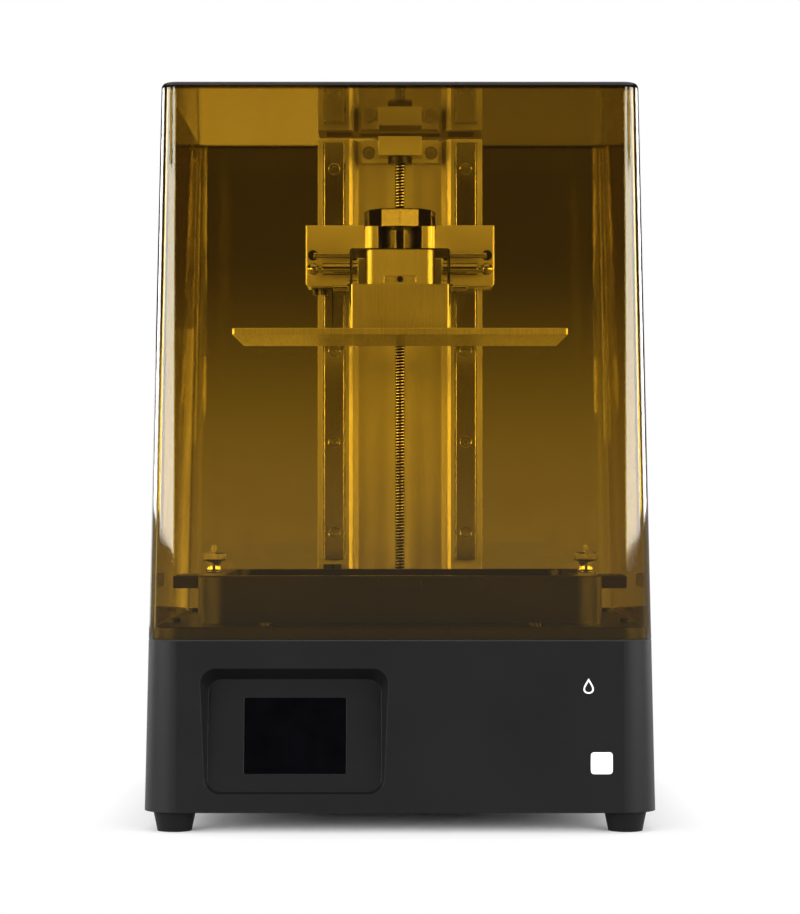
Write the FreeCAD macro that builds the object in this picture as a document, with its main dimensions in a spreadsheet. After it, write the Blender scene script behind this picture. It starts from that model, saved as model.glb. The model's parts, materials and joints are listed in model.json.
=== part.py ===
import FreeCAD, Part
import math
import os

import Sketcher
from FreeCAD import Placement, Rotation, Vector

# A desktop resin printer with a lift-off amber hood. Its frame is in millimetres, with +Z up, the
# front towards -Y, and the origin on the floor under the middle of the machine. Each function below
# makes one sub-part or one group of equal sub-parts, and reads its sizes from the sheet "dim".

SIZES = {
    # whole machine: a square plan that narrows steadily from the floor plate to the top
    "overall_height": 440,
    "foot_height": 12,
    "seam_height": 112,
    "base_width": 301,
    "top_width": 281,
    "corner_radius": 20,
    "shell_wall": 3,
    # hood and its seal
    "hood_wall": 3,
    "hood_edge": 3.5,
    "seal_height": 0.8,
    "seal_inset": 0.3,
    "seal_radius": 15,
    # raised deck inside the hood
    "deck_inset": 4.2,
    "deck_rise": 8,
    "deck_wall": 3,
    "deck_opening": 264,
    "deck_radius": 13,
    "deck_edge": 1,
    "deck_screw_spread": 137.5,
    "deck_screw_side": 79,
    "deck_screw_head": 7.4,
    "deck_screw_head_height": 2.4,
    "deck_screw_shank": 4,
    "deck_boss": 9,
    "tower_gap_half": 58,
    "tower_gap_front": 57,
    "tower_gap_back": 122,
    # tilted touchscreen in a sunk tray at the front
    "tray_centre": -61.7,
    "tray_low": 21.9,
    "tray_high": 98.2,
    "tray_low_width": 107,
    "tray_high_width": 112.2,
    "tray_radius": 9.5,
    "tray_wall": 2.5,
    "tray_face": 152,
    "tray_root": 148,
    "floor_low": 24.1,
    "floor_length": 65.8,
    "floor_width": 101.7,
    "floor_radius": 8.2,
    "floor_front": 147.7,
    "floor_tilt": 9.6,
    "window_centre": -61.4,
    "window_up": 32.7,
    "window_width": 59.7,
    "window_height": 44.7,
    "window_radius": 1,
    "glass_gap": 0.15,
    "glass_sunk": 0.3,
    "module_width": 72,
    "module_height": 54,
    "module_depth": 6,
    "module_corner": 2,
    "module_plug": 6,
    # floor plate and feet
    "plate_thickness": 2,
    "plate_gap": 0.2,
    "foot_spread": 132.7,
    "foot_top": 25.2,
    "foot_bottom": 20.2,
    "foot_bore": 9,
    "foot_bore_depth": 7,
    "foot_screw_head": 7.5,
    "foot_screw_head_height": 2.6,
    "foot_screw_shank": 4,
    "foot_screw_past": 3.5,
    "vent_width": 4,
    "vent_length": 52,
    "vent_step": 8,
    # chassis that carries the tower
    "chassis_half": 75,
    "chassis_front": 46,
    "chassis_back": 135,
    "chassis_low": 100,
    "chassis_thickness": 3,
    "post_diameter": 9,
    "post_side": 66,
    "post_front": 55,
    "post_back": 126,
    "column_screw_front": 84,
    "column_screw_back": 111,
    "column_screw_head": 8.5,
    "column_screw_hole": 5.4,
    "column_screw_length": 12,
    # tower column
    "column_half": 54.6,
    "column_front": 75.5,
    "column_back": 118,
    "column_top": 434,
    "flange_inner": 33.8,
    "web_half": 28,
    "web_front": 88,
    "column_wall": 5,
    "column_foot": 14,
    "rib_inner": 30.6,
    "rib_outer": 31.5,
    "rib_depth": 4,
    "rib_lip": 1.2,
    "side_chamber_inner": 32,
    "middle_chamber_half": 27,
    "tapped_hole": 4.9,
    "tapped_depth": 13,
    # two linear rails and their guide blocks
    "rail_side": 43.4,
    "rail_width": 15,
    "rail_waist": 11.5,
    "rail_height": 15,
    "rail_low": 155,
    "rail_length": 275,
    "rail_edge": 1.2,
    "shoulder_low": 5.4,
    "waist_low": 7,
    "waist_high": 8.6,
    "shoulder_high": 10.2,
    "bolt_pitch": 60,
    "bolt_margin": 17.5,
    "counterbore": 7.5,
    "counterbore_depth": 5.3,
    "bolt_hole": 4.6,
    "rail_screw_head": 7,
    "rail_screw_head_height": 4,
    "rail_screw_shank": 4.2,
    "block_width": 34,
    "block_back": 71.2,
    "block_low": 333.5,
    "block_high": 372.6,
    "block_play": 0.2,
    # lead screw, its motor, coupler, nut and top bearing
    "screw_behind": 66,
    "screw_diameter": 8,
    "screw_low": 119,
    "screw_high": 428,
    "shaft_diameter": 5,
    "motor_side": 42.3,
    "motor_length": 48,
    "motor_corner": 4,
    "pilot_diameter": 22,
    "motor_bolt_side": 15.5,
    "motor_bolt_hole": 3.4,
    "motor_screw_head": 5.5,
    "motor_screw_head_height": 3,
    "motor_screw_shank": 2.9,
    "pilot_height": 2,
    "pilot_gap": 0.4,
    "shaft_depth": 20,
    "shaft_bore": 30,
    "motor_plug_half": 7,
    "motor_plug_low": 2,
    "motor_plug_high": 10,
    "motor_plug_reach": 4,
    "coupler_diameter": 17.6,
    "coupler_low": 106,
    "coupler_high": 131,
    "bearing_diameter": 16,
    "bearing_low": 416.2,
    "head_half": 14.2,
    "head_low": 421,
    "head_high": 433.4,
    "head_front": 56,
    "ear_half": 25.65,
    "ear_low": 418.3,
    "ear_front": 76,
    "ear_screw": 20.6,
    "ear_screw_rise": 6,
    "ear_screw_head": 8.8,
    "ear_screw_hole": 5.1,
    "ear_screw_bite": 4,
    "cap_screw_head_height": 5,
    "cap_screw_shank": 4.8,
    "head_bore_depth": 7.5,
    "nut_half": 17,
    "nut_low": 340,
    "nut_high": 352,
    "nut_back": 79,
    "nut_barrel": 10.2,
    "nut_flange": 22,
    "nut_flange_height": 3.5,
    "running_fit": 0.05,
    # carriage plate and its forked arm
    "plate_half": 61.4,
    "plate_low": 332.7,
    "plate_high": 373.1,
    "plate_front": 38.5,
    "plate_back": 47.5,
    "plate_bevel": 4,
    "carriage_screw_outer": 56.6,
    "carriage_screw_inner": 30.2,
    "carriage_screw_up": 353.5,
    "carriage_screw_head": 6.5,
    "carriage_screw_head_height": 4,
    "carriage_screw_shank": 4,
    "carriage_screw_bore": 6.9,
    "carriage_screw_sunk": 4.2,
    "carriage_screw_hole": 4.3,
    "block_thread_depth": 7,
    "carriage_edge": 0.8,
    "arm_screw_side": 12,
    "arm_screw_low": 334,
    "arm_screw_high": 358.5,
    "arm_screw_head": 8,
    "arm_screw_shank": 5,
    "arm_screw_hole": 5.3,
    "arm_screw_bite": 10,
    "arm_half": 21.55,
    "arm_front": -58,
    "arm_low": 349.5,
    "arm_high": 363.1,
    "arm_edge": 5,
    "fork_width": 27,
    "fork_end": -28,
    "root_half": 27,
    "root_front": 8,
    "root_low": 327.3,
    "root_high": 350.5,
    "bar_up": 343.6,
    "bar_front": 27,
    "bar_diameter": 8,
    "bar_end": 50,
    "ball_centre": 56,
    "rod_up": 352.4,
    "rod_diameter": 3.6,
    "pin_up": 330.6,
    "pin_front": 20,
    "pin_diameter": 4.4,
    "pin_end": 43,
    "pin_collar": 8.4,
    "pin_collar_end": 34,
    "pin_collar_up": 331.6,
    # homing flag and its sensor
    "flag_side": 44.5,
    "flag_thickness": 0.8,
    "flag_front": 57.6,
    "flag_back": 59.8,
    "flag_low": 300,
    "tab_outer": 58,
    "tab_front": 49,
    "tab_thickness": 1.2,
    "flag_screw_behind": 53,
    "flag_screw_outer": 55.4,
    "flag_screw_inner": 50,
    "flag_head": 3.6,
    "flag_screw": 4,
    "sensor_low": 139,
    "sensor_high": 151.6,
    "sensor_outer": 50.4,
    "sensor_inner": 38.6,
    "sensor_front": 57,
    "sensor_slot": 2.6,
    "sensor_slot_past": 2,
    # build platform
    "bed_width": 203,
    "bed_depth": 127,
    "bed_behind": -28,
    "bed_low": 294.3,
    "bed_thickness": 4,
    "bed_radius": 1.5,
    "bed_edge": 0.5,
    "bed_block_width": 60.3,
    "bed_block_depth": 64,
    "bed_block_high": 327.2,
    "bed_block_corner": 1,
    "post_width": 43,
    "post_depth": 60,
    "post_high": 348.6,
    "post_edge": 5,
    "saddle_thickness": 0.8,
    "saddle_low": 315.6,
    "saddle_depth": 60,
    "saddle_bend": 1.8,
    "notch_width": 19.5,
    "notch_low": 328.4,
    "notch_high": 332.4,
    "notch_depth": 3,
    "post_screw_head": 3.8,
    "post_screw_head_height": 2.2,
    "post_screw_shank": 2.4,
    "post_screw_length": 8,
    "stud_diameter": 8,
    "stud_depth": 16,
    "stud_gap": 0.6,
    "stud_high": 371,
    "knob_diameter": 45,
    "knob_low": 363.2,
    "knob_high": 375.2,
    "knob_edge": 0.8,
    "hub_diameter": 23,
    "hub_low": 349.6,
    "flute_diameter": 15,
    "flute_spread": 27.6,
    # resin vat
    "vat_width": 243,
    "vat_depth": 168,
    "vat_behind": -28,
    "vat_high": 149,
    "vat_radius": 16,
    "vat_edge": 0.8,
    "tank_width": 211,
    "tank_depth": 140,
    "tank_radius": 9,
    "ring_width": 225,
    "ring_depth": 153,
    "ring_open_width": 212,
    "ring_open_depth": 140,
    "ring_thickness": 2,
    "ring_radius": 7,
    "film_thickness": 0.15,
    "film_screw_head": 4.8,
    "film_screw_head_height": 1.2,
    "film_screw_shank": 2.6,
    "film_screw_hole": 2.7,
    "film_screw_bore": 5,
    "film_screw_sunk": 1.25,
    "film_screw_length": 6,
    "film_thread_depth": 7,
    "vat_fit": 0.2,
    "handle_outer": 139.5,
    "handle_low": 140,
    "handle_high": 147.5,
    "handle_front": -62,
    "handle_back": -10,
    "tab_width": 26,
    "tab_reach": 2.4,
    "tab_low": 142,
    "tab_high": 148,
    "thumb_side": 116,
    "thumb_behind": -36,
    "thumb_shank": 6,
    "thumb_hole": 6.3,
    "thumb_low": 113.5,
    "thumb_head": 14.7,
    "thumb_neck": 9,
    "thumb_flange": 12,
    "thumb_flange_height": 1.4,
    "thumb_neck_height": 6,
    "thumb_head_height": 5.2,
    "thumb_tip": 3.4,
    "thumb_tip_height": 4.6,
    "insert_diameter": 9,
    "insert_wall": 2,
    "insert_low": 112.5,
    "insert_sunk": 0.2,
    # light engine under the deck
    "engine_width": 206,
    "engine_depth": 134,
    "sink_low": 40,
    "sink_high": 60,
    "sink_base": 4,
    "fin_thickness": 2,
    "fin_step": 17,
    "engine_wall": 3,
    "engine_top": 115,
    "engine_corner": 2,
    "engine_inner_corner": 1,
    "board_corner": 1.2,
    "shroud_corner": 4,
    "panel_frame_high": 119.2,
    "panel_high": 121.7,
    "panel_window_width": 198,
    "panel_window_depth": 124,
    "panel_gap": 1,
    "panel_opening_corner": 3,
    "led_step_x": 24,
    "led_step_y": 25,
    "led_size": 3.5,
    "led_height": 1,
    "board_thickness": 1.6,
    "lens_low": 74,
    "lens_thickness": 3,
    "lens_diameter": 21,
    "lens_height": 4,
    "engine_post_x": 93.5,
    "engine_post_y": 58,
    # power supply, mainboard and rear panel
    "supply_outer": 138,
    "supply_inner": 80,
    "supply_front": 48,
    "supply_back": 136,
    "supply_low": 16,
    "supply_high": 52,
    "supply_slot_length": 40,
    "supply_slot_width": 3,
    "supply_slot_depth": 1.2,
    "supply_slot_front": 68,
    "pcb_inner": 80,
    "pcb_outer": 138,
    "pcb_front": 46,
    "pcb_back": 138,
    "pcb_low": 22,
    "standoff_diameter": 5,
    "standoff_inset": 12,
    "rear_inside": 146.5,
    "rear_face": 150,
    "inlet_x": -106,
    "inlet_up": 72,
    "inlet_width": 27.4,
    "inlet_height": 19.8,
    "inlet_depth": 26,
    "socket_width": 22,
    "socket_height": 14,
    "socket_depth": 17,
    "pin_side": 7,
    "pin_rise": 2,
    "pin_half_width": 1,
    "pin_half_height": 2,
    "pin_sunk": 3,
    "socket_sunk": 0.4,
    "rocker_x": -78,
    "rocker_width": 13,
    "rocker_height": 19,
    "rocker_bezel": 1.6,
    "rocker_pivot": 146.4,
    "rocker_tip": 9,
    "rocker_play": 0.3,
    "rocker_reach": 6.9,
    "rocker_root": 3.2,
    "rocker_root_half": 2,
    "rocker_back": 0.4,
    "rocker_face": 2.6,
    "rocker_dip": 1.4,
    "switch_depth": 16,
    "switch_well": 11,
    "lan_x": 92,
    "lan_width": 16,
    "lan_height": 13.5,
    "lan_depth": 21,
    "lan_socket_width": 11.7,
    "lan_socket_height": 8,
    "lan_socket_depth": 12,
    "lan_socket_low": 2.5,
    "port_sunk": 0.6,
    "usb_x": 118,
    "usb_width": 13.1,
    "usb_height": 5.7,
    "usb_depth": 18,
    "usb_wall": 0.4,
    "usb_floor": 2,
    "tongue_half": 5.5,
    "tongue_low": 3.1,
    "tongue_high": 4.9,
    "tongue_sunk": 3,
    "port_margin": 0.4,
    # cooling fan at the rear
    "fan_side": 60,
    "fan_depth": 15,
    "fan_back": 145.5,
    "fan_up": 60,
    "fan_bore": 56,
    "fan_corner": 4,
    "fan_hub": 24,
    "fan_wheel": 54,
    "spoke_half": 1.5,
    "spoke_depth": 2,
    "wheel_front": 2.6,
    "wheel_depth": 11,
    "blade_front": 3.4,
    "blade_length": 10,
    "blade_overlap": 2,
    "blade_thickness": 1.6,
    "blade_turn": 35,
    # cables inside the base
    "signal_cable": 4,
    "mains_cable": 5,
}

# chips and connectors of the mainboard: middle along x and y, width, depth and height
CHIPS = {
    "processor": (104, 96, 16, 16, 1.6),
    "driver": (90, 84, 9, 9, 8),
    "memory": (122, 96, 10, 14, 1.2),
    "motor_plug": (88, 66, 8, 12, 8),
    "screen_plug": (104, 51, 16, 8, 6),
    "power_plug": (130, 66, 10, 14, 9),
}
for chip, measures in CHIPS.items():
    for measure, value in zip(("x", "y", "width", "depth", "height"), measures):
        SIZES[f"{chip}_{measure}"] = value

BLADES = 7
FLUTES = 8
RAIL_BOLTS = 5
SIDES = {"left": -1, "right": 1}

doc = FreeCAD.newDocument("resin_printer")
sheet = doc.addObject("Spreadsheet::Sheet", "dim")
nodes = []


def fill_sheet():
    """Writes each driving dimension as a plain number beside its name, with that name as alias."""
    for row, (alias, value) in enumerate(SIZES.items(), 1):
        sheet.set(f"A{row}", alias)
        sheet.set(f"B{row}", str(value))
        sheet.setAlias(f"B{row}", alias)
    doc.recompute()


def size(expression):
    """The present value of an expression on the sheet."""
    return float(sheet.evalExpression(expression))


def half_at(height):
    """The half width of the machine's outer shell at a height above the floor."""
    narrowing = "(dim.base_width - dim.top_width) / 2 / (dim.overall_height - dim.foot_height)"
    return f"(dim.base_width / 2 - {narrowing} * ({height} - dim.foot_height))"


DECK_TOP = "(dim.seam_height + dim.deck_rise)"
DECK_WIDTH = f"(2 * {half_at('dim.seam_height')} - 2 * dim.deck_inset)"
HOOD_LOW = "(dim.seam_height + dim.seal_height)"
FILM_LOW = f"({DECK_TOP} + dim.ring_thickness)"
FILM_HIGH = f"({FILM_LOW} + dim.film_thickness)"
CHASSIS_TOP = "(dim.chassis_low + dim.chassis_thickness)"
BED_TOP = "(dim.bed_low + dim.bed_thickness)"
PLATE_TOP = "(dim.foot_height + dim.plate_thickness)"
PCB_TOP = "(dim.pcb_low + dim.board_thickness)"
EAR_SCREW_UP = "(dim.ear_low + dim.ear_screw_rise)"
FIRST_LAMP = ("(-3.5 * dim.led_step_x)", "(dim.bed_behind - 2 * dim.led_step_y)")
SLOT_END = "(dim.vent_width * 0.49)"
SINK_UNDER = "(dim.sink_high - dim.sink_base)"


def through(thickness):
    """A depth that cuts well past a wall."""
    return f"(2 * ({thickness}))"


# ---- sketches and PartDesign features ------------------------------------------------------------


def node(label, thing):
    """Names a finished sub-part and puts it on the list of those that are exported."""
    thing.Label = label
    nodes.append(thing)
    return thing


def new_body(label):
    """An empty body, which becomes one sub-part."""
    return node(label, doc.addObject("PartDesign::Body", label))


def sketch_on(body, plane="XY_Plane", lift="0"):
    """A sketch on one of a body's own origin planes, moved along that plane's normal.

    The normal of XY_Plane is +Z, that of XZ_Plane is -Y and that of YZ_Plane is +X.
    """
    made = body.newObject("Sketcher::SketchObject", f"{body.Name}_sketch")
    origin = next(f for f in body.Origin.OriginFeatures if f.Role == plane)
    made.AttachmentSupport = [(origin, "")]
    made.MapMode = "FlatFace"
    made.setExpression("AttachmentOffset.Base.z", lift)
    return made


def tray_sketch(body, lift="0"):
    """A sketch parallel to the tilted floor of the screen tray, with its origin at the floor's foot."""
    made = sketch_on(body, "XZ_Plane")
    tilt = "-dim.floor_tilt"
    made.AttachmentOffset = Placement(Vector(), Rotation(Vector(1, 0, 0), size(tilt)))
    made.setExpression("AttachmentOffset.Rotation.Angle", f"{tilt} * 1 deg")
    made.setExpression(
        "AttachmentOffset.Base.y", f"dim.floor_low + ({lift}) * sin(dim.floor_tilt * 1 deg)"
    )
    made.setExpression(
        "AttachmentOffset.Base.z", f"dim.floor_front + ({lift}) * cos(dim.floor_tilt * 1 deg)"
    )
    return made


def pin_point(sketch, part, point, x, y):
    """Holds one point of a sketch at two expressions, measured from the sketch's origin."""
    for kind, expression in (("DistanceX", x), ("DistanceY", y)):
        held = Sketcher.Constraint(kind, -1, 1, part, point, size(expression))
        sketch.setExpression(f"Constraints[{sketch.addConstraint(held)}]", expression)


def circle(sketch, diameter, x="0", y="0"):
    """A circle whose size and centre follow the sheet."""
    centre = Vector(size(x), size(y), 0)
    part = sketch.addGeometry(Part.Circle(centre, Vector(0, 0, 1), size(diameter) / 2))
    pin_point(sketch, part, 3, x, y)
    held = Sketcher.Constraint("Diameter", part, size(diameter))
    sketch.setExpression(f"Constraints[{sketch.addConstraint(held)}]", diameter)


def outline(sketch, corners):
    """A closed line through corners that follow the sheet."""
    points = [Vector(size(x), size(y), 0) for x, y in corners]
    first = sketch.GeometryCount
    count = len(points)
    for i in range(count):
        sketch.addGeometry(Part.LineSegment(points[i], points[(i + 1) % count]))
    for i, (x, y) in enumerate(corners):
        following = first + (i + 1) % count
        sketch.addConstraint(Sketcher.Constraint("Coincident", first + i, 2, following, 1))
        pin_point(sketch, first + i, 1, x, y)


def rectangle(sketch, x, y):
    """A rectangle between a low and a high expression each way."""
    outline(sketch, [(x[0], y[0]), (x[1], y[0]), (x[1], y[1]), (x[0], y[1])])


def rounded_outline(sketch, centres, radius):
    """Four equal arcs about the given centres, from the lower left one anticlockwise, and the
    straight lines that touch them."""
    middles = [Vector(size(x), size(y), 0) for x, y in centres]
    reach = size(radius)
    count = len(middles)
    sides = []
    for i in range(count):
        along = middles[(i + 1) % count] - middles[i]
        outward = Vector(along.y, -along.x, 0).normalize() * reach
        sides.append((middles[i] + outward, middles[(i + 1) % count] + outward))
    lines = [sketch.addGeometry(Part.LineSegment(*side)) for side in sides]
    arcs = []
    for i, middle in enumerate(middles):
        start, finish = (
            math.atan2(end.y - middle.y, end.x - middle.x) for end in (sides[i - 1][1], sides[i][0])
        )
        whole = Part.Circle(middle, Vector(0, 0, 1), reach)
        turn = start + (finish - start) % (2 * math.pi)
        arcs.append(sketch.addGeometry(Part.ArcOfCircle(whole, start, turn)))
    for i in range(count):
        sketch.addConstraint(Sketcher.Constraint("Tangent", lines[i - 1], 2, arcs[i], 1))
        sketch.addConstraint(Sketcher.Constraint("Tangent", arcs[i], 2, lines[i], 1))
        pin_point(sketch, arcs[i], 3, *centres[i])
        held = Sketcher.Constraint("Radius", arcs[i], reach)
        sketch.setExpression(f"Constraints[{sketch.addConstraint(held)}]", radius)


def rounded_rectangle(sketch, width, height, radius, x="0", y="0"):
    """A rectangle with four equal round corners, about a centre."""
    side = f"(({width}) / 2 - ({radius}))"
    rise = f"(({height}) / 2 - ({radius}))"
    signs = ((-1, -1), (1, -1), (1, 1), (-1, 1))
    centres = [(f"({x}) + {i} * {side}", f"({y}) + {j} * {rise}") for i, j in signs]
    rounded_outline(sketch, centres, radius)


def feature(sketch, kind, length, **choices):
    """A Pad or a Pocket of a sketch, with its length from the sheet. A Pocket must remove material."""
    body = sketch.getParentGeoFeatureGroup()
    doc.recompute()
    before = body.Shape.Volume if kind == "Pocket" else 0
    made = body.newObject(f"PartDesign::{kind}", f"{body.Name}_{kind.lower()}")
    made.Profile = sketch
    made.setExpression("Length", length)
    for name, value in choices.items():
        setattr(made, name, value)
    doc.recompute()
    if kind == "Pocket" and body.Shape.Volume > before - 0.01:
        raise ValueError(f"{made.Name} removes nothing")
    return made


def loft(kind, first, second):
    """An AdditiveLoft or a SubtractiveLoft between two sketches of one body."""
    body = first.getParentGeoFeatureGroup()
    made = body.newObject(f"PartDesign::{kind}", f"{body.Name}_loft")
    made.Profile = first
    made.Sections = [second]
    made.Ruled = True
    doc.recompute()
    return made


def repeat(originals, axis, step, count):
    """Repeats features of one body in a row along one of its origin axes."""
    body = originals[0].getParentGeoFeatureGroup()
    made = body.newObject("PartDesign::LinearPattern", f"{body.Name}_row")
    made.Originals = originals
    line = next(f for f in body.Origin.OriginFeatures if f.Role == axis)
    made.Direction = (line, [""])
    made.setExpression("Length", f"({step}) * {count - 1}")
    made.Occurrences = count
    body.Tip = made
    doc.recompute()
    return made


def soften(body, kind, amount, chosen):
    """A Fillet or Chamfer on those edges of a body for which chosen(edge) is true."""
    doc.recompute()
    base = body.Tip
    names = [f"Edge{i}" for i, edge in enumerate(base.Shape.Edges, 1) if chosen(edge)]
    made = body.newObject(f"PartDesign::{kind}", f"{body.Name}_{kind.lower()}")
    made.Base = (base, names)
    made.setExpression("Radius" if kind == "Fillet" else "Size", amount)
    doc.recompute()
    return made


def at_height(height):
    """A test for edges that lie whole at one height."""
    level = size(height)

    def lies_there(edge):
        box = edge.BoundBox
        return abs(box.ZMin - level) < 0.01 and abs(box.ZMax - level) < 0.01

    return lies_there


def plate(label, width, depth, radius, low, high, x="0", y="0"):
    """A flat body with round corners between two heights."""
    body = new_body(label)
    shape = sketch_on(body, lift=low)
    rounded_rectangle(shape, width, depth, radius, x, y)
    feature(shape, "Pad", f"({high}) - ({low})")
    return body


def shell_square(body, height, inset="0"):
    """The outer plan of the machine at a height, moved inward by inset. Its corners keep their
    centres, so their radius shrinks as the plan narrows."""
    made = sketch_on(body, lift=height)
    width = f"(2 * {half_at(height)} - 2 * ({inset}))"
    radius = f"(dim.corner_radius - dim.base_width / 2 + {half_at(height)} - ({inset}))"
    rounded_rectangle(made, width, width, radius)
    return made


def narrowed(sketch, kind, length, **choices):
    """A Pad or a Pocket that narrows upward as the whole machine does."""
    made = feature(sketch, kind, length, **choices)
    slope = "(dim.base_width - dim.top_width) / 2 / (dim.overall_height - dim.foot_height)"
    made.setExpression("TaperAngle", f"-atan({slope})")
    doc.recompute()
    return made


# ---- Part primitives and booleans -----------------------------------------------------------------


def bind(thing, **expressions):
    """Ties properties of an object to expressions on the sheet."""
    for name, expression in expressions.items():
        thing.setExpression(name, expression)
    return thing


def place(thing, x="0", y="0", z="0", axis=None, angle=0):
    """Turns an object about an axis and ties its position to the sheet."""
    if axis:
        thing.Placement = Placement(Vector(), Rotation(Vector(*axis), angle))
    for letter, expression in zip("xyz", (x, y, z)):
        thing.setExpression(f"Placement.Base.{letter}", expression)
    return thing


def box(name, x, y, z):
    """A box between a low and a high expression along each axis."""
    made = doc.addObject("Part::Box", name)
    for side, (low, high) in zip(("Length", "Width", "Height"), (x, y, z)):
        made.setExpression(side, f"({high}) - ({low})")
    return place(made, x[0], y[0], z[0])


UP = (None, 0)
DOWN = ((1, 0, 0), 180)
BACKWARD = ((1, 0, 0), -90)
FORWARD = ((1, 0, 0), 90)
TO_RIGHT = ((0, 1, 0), 90)
TO_LEFT = ((0, 1, 0), -90)


def cylinder(name, diameter, length, x="0", y="0", z="0", towards=UP):
    """A cylinder that starts at a point and runs towards one of the directions above."""
    made = bind(doc.addObject("Part::Cylinder", name), Radius=f"({diameter}) / 2", Height=length)
    return place(made, x, y, z, *towards)


def fuse(name, *things):
    """One solid from several that touch or overlap."""
    made = doc.addObject("Part::MultiFuse", name)
    made.Shapes = list(things)
    made.Refine = True
    return made


def cut(name, base, *tools):
    """A solid less one or more others."""
    made = doc.addObject("Part::Cut", name)
    made.Base = base
    made.Tool = tools[0] if len(tools) == 1 else fuse(f"{name}_tools", *tools)
    return made


def group(label, *things):
    """Several separate solids as one sub-part."""
    made = doc.addObject("Part::Compound", label)
    made.Links = list(things)
    return node(label, made)


def copies(original, spots, towards=UP):
    """Equal separate solids, each a copy of an original that stands at the origin."""
    placed = []
    for spot in spots:
        link = doc.addObject("App::Link", f"{original.Name}_copy")
        link.LinkedObject = original
        placed.append(place(link, *spot, *towards))
    return placed


def socket_screw(name, length, head_height=None, shank=None):
    """A cap screw with its head's underside at the origin and its shank along -Z, with a hex socket.

    The head's diameter is on the sheet as NAME_head, and so are its height and the shank's diameter,
    as NAME_head_height and NAME_shank, unless they are given here.
    """
    head = f"dim.{name}_head"
    head_height = head_height or f"dim.{name}_head_height"
    shank = shank or f"dim.{name}_shank"
    socket = bind(
        doc.addObject("Part::Prism", f"{name}_socket"),
        Circumradius=f"({head}) * 0.29",
        Height=head_height,
    )
    place(socket, z=f"({head_height}) * 0.45")
    whole = fuse(
        f"{name}_whole",
        cylinder(f"{name}_head", head, head_height),
        cylinder(f"{name}_shank", shank, f"({length}) + 0.5", z=f"-({length})"),
    )
    return cut(name, whole, socket)


def cap_screw(name, length):
    """A socket screw with the head height and the shank that the larger screws share."""
    return socket_screw(name, length, "dim.cap_screw_head_height", "dim.cap_screw_shank")


def mirror_pairs(x, y, z):
    """Four spots at plus and minus x and y."""
    return [(f"{i} * ({x})", f"{j} * ({y})", z) for i in (-1, 1) for j in (-1, 1)]


# ---- base: housing, deck, floor plate, feet --------------------------------------------------------


def tray_outline(sketch, grow):
    """The tray's outer outline on an upright plane: a little wider at the top than at the bottom."""
    radius = f"(dim.tray_radius + ({grow}))"
    low = "(dim.tray_low_width / 2 - dim.tray_radius)"
    high = "(dim.tray_high_width / 2 - dim.tray_radius)"
    foot = "(dim.tray_low + dim.tray_radius)"
    head = "(dim.tray_high - dim.tray_radius)"
    centres = [
        (f"dim.tray_centre - {low}", foot),
        (f"dim.tray_centre + {low}", foot),
        (f"dim.tray_centre + {high}", head),
        (f"dim.tray_centre - {high}", head),
    ]
    rounded_outline(sketch, centres, radius)


def tray_floor(sketch, grow):
    """The outline of the tray's floor, grown by an amount on each side."""
    rounded_rectangle(
        sketch,
        f"dim.floor_width + 2 * ({grow})",
        f"dim.floor_length + 2 * ({grow})",
        f"dim.floor_radius + ({grow})",
        "dim.tray_centre",
        "dim.floor_length / 2",
    )


def make_base_housing():
    """The outer case: four tapered walls, a ledge round the top that carries the hood, the sunk
    screen tray, and the openings of the rear panel."""
    body = new_body("base_housing")
    height = "dim.seam_height - dim.foot_height"
    narrowed(shell_square(body, "dim.foot_height"), "Pad", height)
    room = shell_square(body, "dim.foot_height", "dim.shell_wall")
    narrowed(room, "Pocket", f"{height} - dim.shell_wall", Reversed=True)
    top = sketch_on(body, lift="dim.seam_height")
    rounded_rectangle(top, "dim.deck_opening", "dim.deck_opening", "dim.deck_radius")
    feature(top, "Pocket", through("dim.shell_wall"))
    outer = sketch_on(body, "XZ_Plane", "dim.tray_root")
    tray_outline(outer, "dim.tray_wall")
    inner = tray_sketch(body, "-dim.tray_wall")
    tray_floor(inner, "dim.tray_wall")
    loft("AdditiveLoft", outer, inner)
    mouth = sketch_on(body, "XZ_Plane", "dim.tray_face")
    tray_outline(mouth, "0")
    floor = tray_sketch(body)
    tray_floor(floor, "0")
    loft("SubtractiveLoft", mouth, floor)
    window = tray_sketch(body)
    rounded_rectangle(
        window,
        "dim.window_width",
        "dim.window_height",
        "dim.window_radius",
        "dim.window_centre",
        "dim.window_up",
    )
    feature(window, "Pocket", through("dim.tray_wall"))
    cut_rear_panel(body)
    bores = sketch_on(body, lift="dim.seam_height")
    for x, y in deck_screw_spots():
        circle(bores, "dim.bolt_hole", x, y)
    feature(bores, "Pocket", through("dim.shell_wall"))


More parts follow.
